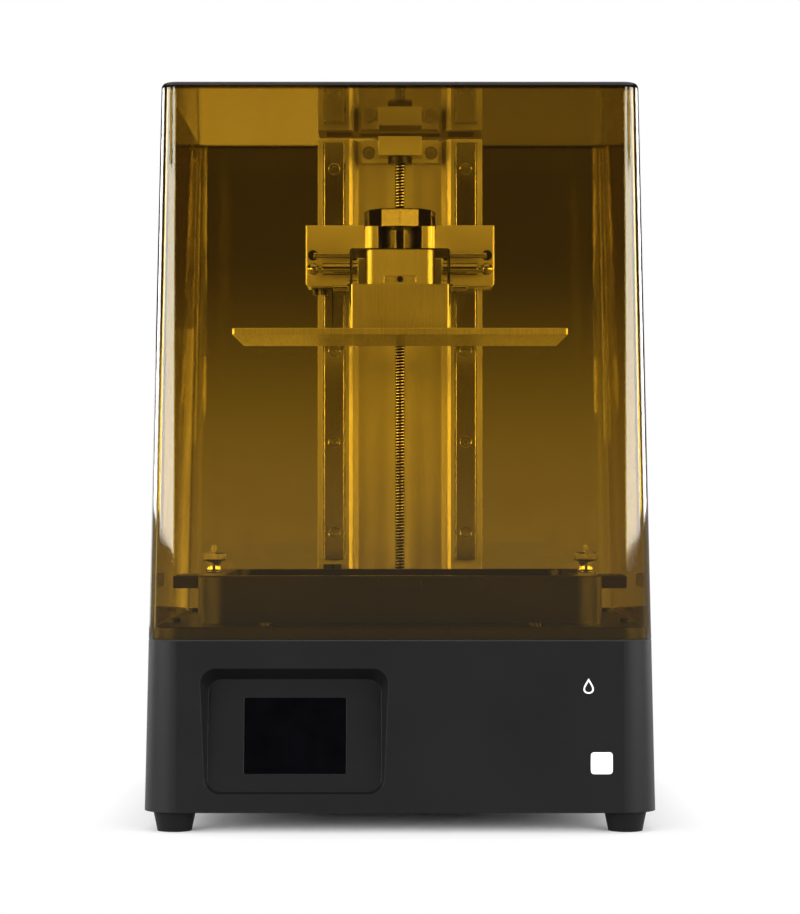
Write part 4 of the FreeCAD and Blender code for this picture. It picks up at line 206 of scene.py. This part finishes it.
def amber_acrylic():
    """Clear amber sheet: each face tints what passes, mirrors at a low angle, and shows a faint
    haze and a slight waviness from forming."""
    clean_tint, smudged_tint = (0.83, 0.71, 0.35), (0.81, 0.69, 0.325)
    painted_edge_dark_tint = (0.07, 0.04, 0.01)
    haze_colour = (0.9, 0.5, 0.06, 1)
    mirror_colour = (0.92, 0.92, 0.92, 1)
    head_on, at_graze, dusty = 0.032, 0.93, 0.05
    edge_start, edge_full = 0.986, 0.991  # shares of the hood's height
    tilted, level = 0.93, 0.995  # the upward part of a face's normal
    made = Shader("amber_acrylic")
    tree = made.tree
    tree.nodes.remove(made.surface)
    facing = made.add("ShaderNodeLayerWeight")
    facing.inputs["Blend"].default_value = 0.5
    grazing = facing.outputs["Facing"]
    wave = made.noise(7.0, 1.0)
    smudge = made.noise(28.0, 5.0)
    clear = made.add("ShaderNodeBsdfTransparent")
    tint = made.blend(made.span(smudge, 0.0, 1.0), clean_tint, smudged_tint)
    # painted reflection: the top plate's edge is painted nearly black by its height, standing for
    # the dark room that its rounded edge mirrors, and in part for the tint along the plate's whole
    # depth
    coords = made.add("ShaderNodeTexCoord")
    spot = made.add("ShaderNodeSeparateXYZ")
    made.link(coords.outputs["Generated"], spot.inputs[0])
    normal = made.add("ShaderNodeSeparateXYZ")
    made.link(made.add("ShaderNodeNewGeometry").outputs["Normal"], normal.inputs[0])
    up = normal.outputs["Z"]
    upright = made.span(made.math("ABSOLUTE", up, 0.0), 1.0, 0.0, tilted, level)
    # painted dark band on the upright faces at the very top of the hood, laid over the tint that
    # thickens at low angles
    painted_edge_band = made.span(spot.outputs["Z"], 0.0, 1.0, edge_start, edge_full)
    painted_edge_band = made.math("MULTIPLY", painted_edge_band, upright)
    depth_and_painted_edge = made.math("MAXIMUM", made.math("POWER", grazing, 3.0), painted_edge_band)
    tint_with_painted_edge = made.blend(depth_and_painted_edge, tint, painted_edge_dark_tint)
    made.link(tint_with_painted_edge, clear.inputs["Color"])
    cloudy = made.add("ShaderNodeBsdfTranslucent")
    cloudy.inputs["Color"].default_value = haze_colour
    haze = made.math("MULTIPLY", made.math("POWER", grazing, 4.0), 0.05)
    haze = made.math("ADD", haze, made.span(smudge, 0.003, 0.009))
    body = made.add("ShaderNodeMixShader")
    made.link(haze, body.inputs["Fac"])
    made.link(clear.outputs[0], body.inputs[1])
    made.link(cloudy.outputs[0], body.inputs[2])
    gloss = made.add("ShaderNodeBsdfAnisotropic")
    gloss.inputs["Color"].default_value = mirror_colour
    made.link(made.span(smudge, 0.02, 0.07), gloss.inputs["Roughness"])
    made.link(made.bump(wave, 0.00004), gloss.inputs["Normal"])
    mirror = made.math("MULTIPLY", made.math("POWER", grazing, 4.0), at_graze)
    mirror = made.math("ADD", mirror, head_on)
    # settled dust dulls the outside of the top
    mirror = made.math("MULTIPLY", mirror, made.span(up, 1.0, dusty, tilted, level))
    whole = made.add("ShaderNodeMixShader")
    made.link(mirror, whole.inputs["Fac"])
    made.link(body.outputs[0], whole.inputs[1])
    made.link(gloss.outputs[0], whole.inputs[2])
    made.link(whole.outputs[0], made.output.inputs["Surface"])
    return made.material


def clear_sheet(name, tint):
    """A thin clear sheet of plastic, a little clouded."""
    made = Shader(name)
    surface = made.surface
    surface.inputs["Alpha"].default_value = 0.35
    cloud = made.noise(30.0, 3.0)
    tone = made.blend(made.span(cloud, 0.0, 1.0), tint, lighter(tint, 0.9))
    made.link(tone, surface.inputs["Base Color"])
    made.link(made.span(cloud, 0.05, 0.16), surface.inputs["Roughness"])
    return made.material


CHARCOAL = (0.0048, 0.0048, 0.005)
MATERIALS = {
    "case_plastic": finish(
        "case_plastic", CHARCOAL, (0.36, 0.46), vary=0.1, grain=2600.0, bump=0.00006,
        edge=0.0006, wear=(0.05, 0.05, 0.053), wear_amount=0.3, Specular_IOR_Level=0.15,
    ),
    "deck_coat": finish(
        "deck_coat", (0.0045, 0.0042, 0.004), (0.3, 0.42), vary=0.15, grain=1800.0, bump=0.00003,
        edge=0.0006, wear=(0.05, 0.05, 0.05), wear_amount=0.3,
    ),
    "seal_foam": finish(
        "seal_foam", (0.012, 0.012, 0.012), (0.75, 0.9), grain=1500.0, bump=0.0002,
    ),
    "foot_rubber": finish(
        "foot_rubber", (0.003, 0.003, 0.0032), (0.6, 0.75), grain=1200.0, bump=0.0001, edge=0.0008,
        wear=(0.05, 0.05, 0.05), wear_amount=0.2, Specular_IOR_Level=0.15,
    ),
    "screen_glass": finish(
        "screen_glass", (0.0015, 0.0015, 0.002), (0.03, 0.08), vary=0.3, patches=60.0,
        bump=0.000001, edge=0.0003, wear=(0.02, 0.02, 0.02), Specular_IOR_Level=0.03,
    ),
    "mask_glass": finish(
        "mask_glass", (0.006, 0.006, 0.008), (0.05, 0.12), vary=0.2, bump=0.000001, edge=0.0003,
    ),
    "black_metal": finish(
        "black_metal", (0.004, 0.0037, 0.0034), (0.26, 0.4), metal=0.0, vary=0.18, grain=2200.0,
        bump=0.00002, edge=0.0005, wear=(0.3, 0.29, 0.27), wear_amount=0.15,
    ),
    "bead_blasted": finish(
        "bead_blasted", (0.72, 0.7, 0.66), (0.4, 0.52), metal=1.0, vary=0.05, grain=2600.0,
        bump=0.00004, edge=0.0005, wear=(0.9, 0.89, 0.86), wear_amount=0.8,
    ),
    "brushed_aluminium": finish(
        "brushed_aluminium", (0.76, 0.74, 0.7), (0.28, 0.42), metal=1.0, vary=0.06,
        streak=(900.0, 20.0, 14.0), drawn_dark=0.6, bump=0.00003, edge=0.0004,
        wear=(0.95, 0.94, 0.9), wear_amount=0.8,
    ),
    "polished_aluminium": finish(
        "polished_aluminium", (0.5, 0.49, 0.46), (0.1, 0.18), metal=1.0, vary=0.05, grain=900.0,
        bump=0.00001, edge=0.0005, wear=(0.9, 0.89, 0.86), wear_amount=0.6,
    ),
    "ground_steel": finish(
        "ground_steel", (0.6, 0.59, 0.58), (0.1, 0.2), metal=1.0, vary=0.06,
        streak=(1400.0, 1400.0, 9.0), bump=0.00001, edge=0.0004, wear=(0.9, 0.9, 0.88),
        wear_amount=0.8,
    ),
    "turned_steel": finish(
        "turned_steel", (0.7, 0.69, 0.66), (0.14, 0.24), metal=1.0, vary=0.1, grain=1400.0,
        bump=0.00001, edge=0.0002, wear=(0.85, 0.84, 0.82), wear_amount=0.6,
    ),
    "black_steel": finish(
        "black_steel", (0.02, 0.02, 0.021), (0.25, 0.4), metal=0.3, vary=0.2, grain=1500.0,
        bump=0.00001, edge=0.0003, wear=(0.25, 0.25, 0.25), wear_amount=0.4,
    ),
    "sheet_steel": finish(
        "sheet_steel", (0.45, 0.45, 0.46), (0.3, 0.45), metal=1.0, vary=0.12, patches=70.0,
        grain=700.0, bump=0.00001, edge=0.0003, wear=(0.7, 0.7, 0.7),
    ),
    "nut_brass": finish(
        "nut_brass", (0.72, 0.5, 0.2), (0.18, 0.3), metal=1.0, vary=0.08, grain=900.0,
        bump=0.00001, edge=0.0003, wear=(0.9, 0.7, 0.35),
    ),
    "board_green": finish(
        "board_green", (0.012, 0.09, 0.04), (0.25, 0.4), vary=0.2, patches=120.0, grain=600.0,
        bump=0.00005, edge=0.0002,
    ),
    "black_plastic": finish(
        "black_plastic", (0.018, 0.018, 0.019), (0.4, 0.55), vary=0.12, grain=2200.0, bump=0.00004,
        edge=0.0004, wear=(0.06, 0.06, 0.06), wear_amount=0.3,
    ),
    "cable_sheath": finish(
        "cable_sheath", (0.03, 0.03, 0.032), (0.45, 0.6), vary=0.1, grain=1600.0, bump=0.00003,
        edge=0.0003,
    ),
    "amber_acrylic": amber_acrylic(),
    "clear_film": clear_sheet("clear_film", (0.8, 0.84, 0.88)),
    "clear_lens": clear_sheet("clear_lens", (0.85, 0.88, 0.9)),
}

# the milled faces round the clamp are duller than the knob and the bars of the same slot
SATIN = finish(
    "satin_aluminium", (0.78, 0.76, 0.72), (0.34, 0.44), metal=1.0, vary=0.05,
    streak=(900.0, 20.0, 14.0), bump=0.00002, edge=0.0005, wear=(0.95, 0.94, 0.92),
    wear_amount=0.7,
)
KNOB = finish(
    "dark_polish", (0.1, 0.097, 0.091), (0.05, 0.12), metal=1.0, vary=0.06, grain=900.0,
    bump=0.00001, edge=0.0005, wear=(0.9, 0.89, 0.86), wear_amount=0.6,
)
OWN_FINISH = {"platform_post": SATIN, "carriage_arm": SATIN, "clamp_knob": KNOB}
PRINT = finish(
    "pale_print", (0.84, 0.84, 0.83), (0.4, 0.55), vary=0.04, grain=2000.0, bump=0.00002,
)

for subpart in frame["record"]["subparts"]:
    node = subpart["node"]
    mesh = nodes[node].data
    mesh.materials.clear()
    mesh.materials.append(OWN_FINISH.get(node, MATERIALS[subpart["material_slot"]]))


# ---- mesh tools ----------------------------------------------------------------------------------


def piece(name, mesh, body, slot, replaced=None, smooth=True):
    """Puts a bmesh into the scene as a piece of one body, with one of the record's finishes."""
    bmesh.ops.recalc_face_normals(mesh, faces=mesh.faces)
    data = bpy.data.meshes.new(name)
    mesh.to_mesh(data)
    mesh.free()
    data.shade_smooth() if smooth else data.shade_flat()
    made = bpy.data.objects.new(name, data)
    bpy.context.scene.collection.objects.link(made)
    data.materials.append(MATERIALS[slot])
    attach(made, body)
    if replaced:
        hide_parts(replaced)
    return made


def turned(mesh, rings, count, centre, ripple=None):
    """Adds a closed turned shape: rings of (radius, height), each with so many points, and an
    optional function that changes a ring's radius with the angle."""
    loops = []
    for index, (radius, height) in enumerate(rings):
        loop = []
        for i in range(count):
            angle = 2 * math.pi * i / count
            reach = radius * (ripple(index, i) if ripple else 1.0)
            loop.append(mesh.verts.new((
                centre[0] + reach * math.cos(angle), centre[1] + reach * math.sin(angle), height,
            )))
        loops.append(loop)
    for low, high in zip(loops, loops[1:]):
        for i in range(count):
            j = (i + 1) % count
            mesh.faces.new((low[i], low[j], high[j], high[i]))
    mesh.faces.new(loops[0][::-1])
    mesh.faces.new(loops[-1])


def make_lead_screw():
    """The screw with its thread of 2 mm pitch, as one continuous helix between plain ends."""
    low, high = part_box("lead_screw")
    centre = (low + high) / 2
    outer = (high.x - low.x) / 2
    pitch, depth_and_painted_edge, around = 2 * MM, 1.1 * MM, 20
    profile = ((0.0, outer - depth_and_painted_edge), (0.12, outer - depth_and_painted_edge), (0.5, outer), (0.64, outer))
    end = 3 * MM
    length = high.z - low.z - 2 * end
    turns = int(length / pitch) - 1
    start = low.z + end
    mesh = bmesh.new()
    columns = []
    for step in range(turns * around + 1):
        angle = 2 * math.pi * step / around
        rise = start + pitch * step / around
        columns.append([
            mesh.verts.new((
                centre.x + radius * math.cos(angle), centre.y + radius * math.sin(angle),
                rise + share * pitch,
            ))
            for share, radius in profile
        ])
    for here, there in zip(columns, columns[1:]):
        for k in range(len(profile) - 1):
            mesh.faces.new((here[k], there[k], there[k + 1], here[k + 1]))
    for i in range(len(columns) - around - 1):
        here, there = columns[i], columns[i + 1]
        above, beyond = columns[i + around], columns[i + around + 1]
        mesh.faces.new((here[-1], there[-1], beyond[0], above[0]))
    core, root = outer - depth_and_painted_edge * 0.6, outer - depth_and_painted_edge
    first, last = start + pitch, start + pitch * turns
    edge, core_sides, root_sides = 0.5 * MM, 40, 24
    turned(mesh, ((core - edge, low.z), (core, low.z + edge), (core, first)), core_sides, centre)
    turned(
        mesh, ((core, last), (core, high.z - edge), (core - edge, high.z)), core_sides, centre
    )
    turned(mesh, ((root, low.z + end), (root, high.z - end)), root_sides, centre)
    made = piece("threaded_screw", mesh, "screw_drive", "turned_steel", "lead_screw")
    made.data.set_sharp_from_angle(angle=math.radians(35))
    # the roots of the thread are painted dark as shade, clearing towards the crests
    root_clear, crest_clear = outer - depth_and_painted_edge * 0.75, outer - depth_and_painted_edge * 0.35
    made.data.materials[0] = finish(
        "thread_with_painted_root_shade", (0.85, 0.84, 0.8), (0.14, 0.24), metal=1.0, vary=0.1, grain=1400.0,
        bump=0.00001, edge=0.0001,
        root_shade=((centre.x, centre.y), root_clear, crest_clear),
    )


def make_clamp_knob():
    """The clamp's knob: a head with twelve broad flats, on a round hub with the stud's bore."""
    low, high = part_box("clamp_knob")
    centre = (low + high) / 2
    stud_gap = 0.6 * MM
    bore_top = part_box("clamp_stud")[1].z + stud_gap
    flats, steps = 12, 6
    head, hub, bore = (high.x - low.x) / 2, 11.5 * MM, 4.05 * MM
    head_low = high.z - 12 * MM
    cut = 0.8 * MM
    rings = (
        (bore, bore_top), (bore, low.z), (hub - cut, low.z), (hub, low.z + cut),
        (hub, head_low), (head - cut, head_low), (head, head_low + cut), (head, high.z - cut),
        (head - cut, high.z),
    )
    flatted = {5, 6, 7, 8}  # the head's rings

    def ripple(index, i):
        if index not in flatted:
            return 1.0
        from_middle = 2 * math.pi / flats * (i % steps / steps - 0.5)
        return math.cos(math.pi / flats) / math.cos(from_middle)

    mesh = bmesh.new()
    turned(mesh, rings, flats * steps, centre, ripple)
    made = piece("flatted_clamp_knob", mesh, "knob", "polished_aluminium", "clamp_knob")
    made.data.materials[0] = KNOB
    made.data.set_sharp_from_angle(angle=math.radians(20))


def make_thumb_screw(side):
    """A captive screw: knurled head on a waisted neck, a flange below it and a plain tip above."""
    node = f"thumb_screw_{side}"
    low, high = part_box(node)
    centre = (low + high) / 2
    head = (high.x - low.x) / 2
    top = high.z
    mesh = bmesh.new()
    neck, flange, tip, shank = 4.5 * MM, 6 * MM, 1.7 * MM, 3 * MM
    head_low, head_high = top - 9.8 * MM, top - 4.6 * MM
    flange_low, flange_high = head_low - 7.4 * MM, head_low - 6.0 * MM
    cut, waist = 0.4 * MM, 0.88
    rings = (
        (shank - cut, low.z), (shank, low.z + cut), (shank, flange_low),
        (flange - cut, flange_low), (flange, flange_low + cut), (flange, flange_high - cut),
        (flange - cut, flange_high), (neck, flange_high + cut),
        (neck * waist, (flange_high + head_low) / 2), (neck, head_low - cut),
        (head - 2 * cut, head_low), (head, head_low + 2 * cut), (head, head_high - 2 * cut),
        (head - 2 * cut, head_high), (tip + cut, head_high + cut * 0.3), (tip, head_high + cut),
        (tip, top - cut), (tip - cut, top),
    )
    knurled = {11, 12}  # the head's rings
    teeth, tooth_depth = 36, 0.035

    def ripple(index, i):
        return 1.0 - tooth_depth * (i % 2) if index in knurled else 1.0

    turned(mesh, rings, teeth * 2, centre, ripple)
    made = piece(f"knurled_{node}", mesh, f"{side}_thumb_screw", "polished_aluminium", node)
    made.data.set_sharp_from_angle(angle=math.radians(28))


def loose_parts(node):
    """The box of each separate solid in a CAD node, in order of place."""
    mesh = bmesh.new()
    mesh.from_mesh(nodes[node].data)
    bmesh.ops.remove_doubles(mesh, verts=mesh.verts, dist=0.001 * MM)
    left = set(mesh.verts)
    boxes = []
    while left:
        group, fresh = [], [left.pop()]
        while fresh:
            here = fresh.pop()
            group.append(here.co.copy())
            for edge in here.link_edges:
                there = edge.other_vert(here)
                if there in left:
                    left.remove(there)
                    fresh.append(there)
        boxes.append([Vector(map(pick, zip(*group))) for pick in (min, max)])
    mesh.free()
    return sorted(boxes, key=lambda box: tuple(box[0]))


def make_bolt_rims(side, bolts):
    """Bright chamfered collars in the mouths of one rail's bolt holes, before the bolt heads."""
    rail_low, rail_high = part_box(f"rail_{side}")
    gap, chamfer, deep, count = 0.25 * MM, 0.55 * MM, 0.8 * MM, 48
    front = rail_low.y
    mesh = bmesh.new()
    for low, high in bolts:
        centre = (low + high) / 2
        if not rail_low.x < centre.x < rail_high.x:
            continue
        reach = (high.x - low.x) / 2 + gap
        inside = reach - chamfer
        section = ((reach, 0.0), (inside, chamfer), (inside, deep), (reach, deep))
        loops = []
        for i in range(count):
            angle = 2 * math.pi * i / count
            loops.append([
                mesh.verts.new((
                    centre.x + radius * math.cos(angle), front + back,
                    centre.z + radius * math.sin(angle),
                ))
                for radius, back in section
            ])
        for here, there in zip(loops, loops[1:] + loops[:1]):
            for k in range(len(section)):
                after = (k + 1) % len(section)
                mesh.faces.new((here[k], there[k], there[after], here[after]))
    piece(f"rail_rims_{side}", mesh, "base", "ground_steel", smooth=False)


def on_front(x, z, out):
    """A point on the leaning front face of the base, moved outward."""
    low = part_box("base_housing")[0]
    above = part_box("hood_cover")[0]
    lean = (above.y - low.y) / (above.z - low.z)
    return (x, low.y + lean * (z - low.z) - out, z)


def printed(name, centre, outline, inner=None):
    """A thin print on the front face: a filled outline, or a band between it and an inner one."""
    tint_with_painted_edge, sunk = 0.12 * MM, 0.05 * MM
    mesh = bmesh.new()

    def ring(points, out):
        return [mesh.verts.new(on_front(centre[0] + x, centre[1] + z, out)) for x, z in points]

    def wall(first, second):
        for i in range(len(first)):
            j = (i + 1) % len(first)
            mesh.faces.new((first[i], first[j], second[j], second[i]))

    face, foot = ring(outline, tint_with_painted_edge), ring(outline, -sunk)
    wall(face, foot)
    if inner:
        inner_face, inner_foot = ring(inner, tint_with_painted_edge), ring(inner, -sunk)
        wall(inner_foot, inner_face)
        wall(inner_face, face)
        wall(foot, inner_foot)
    else:
        mesh.faces.new(face)
        mesh.faces.new(foot[::-1])
    made = piece(name, mesh, "base", "case_plastic", smooth=False)
    made.data.materials[0] = PRINT


def make_marks():
    """A plain drop and a blank badge where the machine carries its marks."""
    width, height, count = 4.4 * MM, 4.6 * MM, 56
    drop_at, badge_at = (110 * MM, 86 * MM), (117.6 * MM, 41 * MM)
    pointed, inner_size, inner_drop = 1.6, 0.7, 0.5 * MM
    drop = []
    for i in range(count):
        angle = 2 * math.pi * i / count
        across = width * math.sin(angle) * math.sin(angle / 2) ** pointed
        drop.append((across, height * math.cos(angle)))
    inner = [(inner_size * x, inner_size * z - inner_drop) for x, z in drop]
    printed("drop_mark", drop_at, drop, inner)
    half, corner, steps = 6.4 * MM, 2 * MM, 8
    badge = []
    for quarter in range(4):
        across, up = ((1, 1), (-1, 1), (-1, -1), (1, -1))[quarter]
        for step in range(steps + 1):
            angle = math.pi / 2 * (quarter + step / steps)
            badge.append((
                across * (half - corner) + corner * math.cos(angle),
                up * (half - corner) + corner * math.sin(angle),
            ))
    printed("blank_badge", badge_at, badge)


make_marks()
tower_bolts = loose_parts("tower_screws")
make_lead_screw()
make_clamp_knob()
for side in ("left", "right"):
    make_bolt_rims(side, tower_bolts)
    make_thumb_screw(side)


# ---- stage, lights and camera --------------------------------------------------------------------


def make_floor():
    """A pale floor that turns into plain white well away from the printer."""
    mesh = bmesh.new()
    side, front, rear = 4, -3.2, 2.1
    corners = ((-side, front, 0), (side, front, 0), (side, rear, 0), (-side, rear, 0))
    mesh.faces.new([mesh.verts.new(at) for at in corners])
    data = bpy.data.meshes.new("floor")
    mesh.to_mesh(data)
    mesh.free()
    floor = bpy.data.objects.new("floor", data)
    bpy.context.scene.collection.objects.link(floor)
    painted, white = 0.13, 0.185  # distances from the middle, along X or Y
    made = Shader("floor_paint")
    made.link(
        made.blend(made.span(made.noise(3.0), 0.0, 1.0), (0.86, 0.86, 0.86), (0.88, 0.88, 0.88)),
        made.surface.inputs["Base Color"],
    )
    made.surface.inputs["Roughness"].default_value = 0.8
    made.surface.inputs["Specular IOR Level"].default_value = 0.2
    glow = made.add("ShaderNodeEmission")
    glow.inputs["Strength"].default_value = 1.0
    apart = made.add("ShaderNodeSeparateXYZ")
    made.link(made.coords, apart.inputs[0])
    across = made.math("ABSOLUTE", apart.outputs["X"], 0.0)
    away = made.math("ABSOLUTE", apart.outputs["Y"], 0.0)
    reach = made.math("MAXIMUM", across, away)
    mix = made.add("ShaderNodeMixShader")
    made.link(made.span(reach, 0.0, 1.0, painted, white), mix.inputs["Fac"])
    made.link(made.surface.outputs[0], mix.inputs[1])
    made.link(glow.outputs[0], mix.inputs[2])
    made.link(mix.outputs[0], made.output.inputs["Surface"])
    data.materials.append(made.material)


def make_world():
    """White straight behind the printer, and a dim studio for everything that it lights."""
    world = bpy.data.worlds.new("studio")
    world.use_nodes = True
    bpy.context.scene.world = world
    tree = world.node_tree
    tree.nodes.clear()
    coords = tree.nodes.new("ShaderNodeTexCoord")
    parts = tree.nodes.new("ShaderNodeSeparateXYZ")
    tree.links.new(coords.outputs["Generated"], parts.inputs[0])
    level_glow, upper_glow, glow_height = 0.36, 0.05, 0.09
    fade = tree.nodes.new("ShaderNodeMapRange")
    fade.interpolation_type = "SMOOTHSTEP"
    fade.inputs["From Min"].default_value = 0.0
    fade.inputs["From Max"].default_value = glow_height
    fade.inputs["To Min"].default_value = level_glow
    fade.inputs["To Max"].default_value = upper_glow
    tree.links.new(parts.outputs["Z"], fade.inputs["Value"])
    dim = tree.nodes.new("ShaderNodeBackground")
    tree.links.new(fade.outputs[0], dim.inputs["Strength"])
    white = tree.nodes.new("ShaderNodeBackground")
    white.inputs["Strength"].default_value = 1.0
    for shade in (dim, white):
        shade.inputs["Color"].default_value = (1, 1, 1, 1)
    path = tree.nodes.new("ShaderNodeLightPath")
    bare = tree.nodes.new("ShaderNodeMath")
    bare.operation = "LESS_THAN"
    bare.inputs[1].default_value = 0.5
    tree.links.new(path.outputs["Transparent Depth"], bare.inputs[0])
    seen = tree.nodes.new("ShaderNodeMath")
    seen.operation = "MULTIPLY"
    tree.links.new(path.outputs["Is Camera Ray"], seen.inputs[0])
    tree.links.new(bare.outputs[0], seen.inputs[1])
    mix = tree.nodes.new("ShaderNodeMixShader")
    tree.links.new(seen.outputs[0], mix.inputs["Fac"])
    tree.links.new(dim.outputs[0], mix.inputs[1])
    tree.links.new(white.outputs[0], mix.inputs[2])
    out = tree.nodes.new("ShaderNodeOutputWorld")
    tree.links.new(mix.outputs[0], out.inputs["Surface"])


def softbox(name, at, aim, width, height, radiance):
    """A rectangular light of an even radiance that faces a point."""
    data = bpy.data.lights.new(name, "AREA")
    data.shape = "RECTANGLE"
    data.size, data.size_y = width, height
    data.energy = radiance * math.pi * width * height
    light = bpy.data.objects.new(name, data)
    light.location = at
    light.rotation_euler = (Vector(aim) - Vector(at)).to_track_quat("-Z", "Y").to_euler()
    light.visible_camera = False
    bpy.context.scene.collection.objects.link(light)


make_floor()
make_world()
softbox("top", at=(0, -0.2, 1.9), aim=(0, -0.05, 0), width=3.2, height=2.6, radiance=1.3)
softbox(
    "rear_left", at=(-0.83, 1.5, 0.22), aim=(-0.83, 0, 0.22), width=1.6, height=0.34, radiance=1.1,
)


def side_panel(name, sign, start, stop, low, high, radiance):
    """A softbox on a circle round the printer, between two bearings from the front and two
    heights."""
    away = 2.2
    bearing = math.radians((start + stop) / 2)
    width = 2 * away * math.tan(math.radians(stop - start) / 2)
    middle = (low + high) / 2
    at = (sign * away * math.sin(bearing), -away * math.cos(bearing), middle)
    softbox(name, at, (0, 0, middle), width, high - low, radiance)


panel_low, panel_radiance = 0.22, 13.5
# bearings from the front in degrees, and the upper edge. The low one and the gap after the side one
# keep the softboxes' reflections off the hood in the views from the side and behind.
panels = (
    ("front", 24, 36, 0.9),
    ("low", 36, 54, 0.72),
    ("side", 54, 80, 0.9),
    ("rear", 101, 127, 0.9),
)
for side, sign in (("left", -1), ("right", 1)):
    for name, start, stop, panel_high in panels:
        side_panel(f"{side}_{name}", sign, start, stop, panel_low, panel_high, panel_radiance)

# solved from the photograph: the camera stands level, straight in front of the printer
camera_away, camera_height = 1.7505, 0.1961
scene = bpy.context.scene
lens = bpy.data.cameras.new("camera")
lens.lens = 108.2
lens.sensor_width = 36.0
lens.shift_y = 0.0438
camera = bpy.data.objects.new("camera", lens)
camera.location = (0.0, -camera_away, camera_height)
camera.rotation_euler = (math.radians(90), 0, 0)
scene.collection.objects.link(camera)
scene.camera = camera
scene.view_settings.view_transform = "Standard"
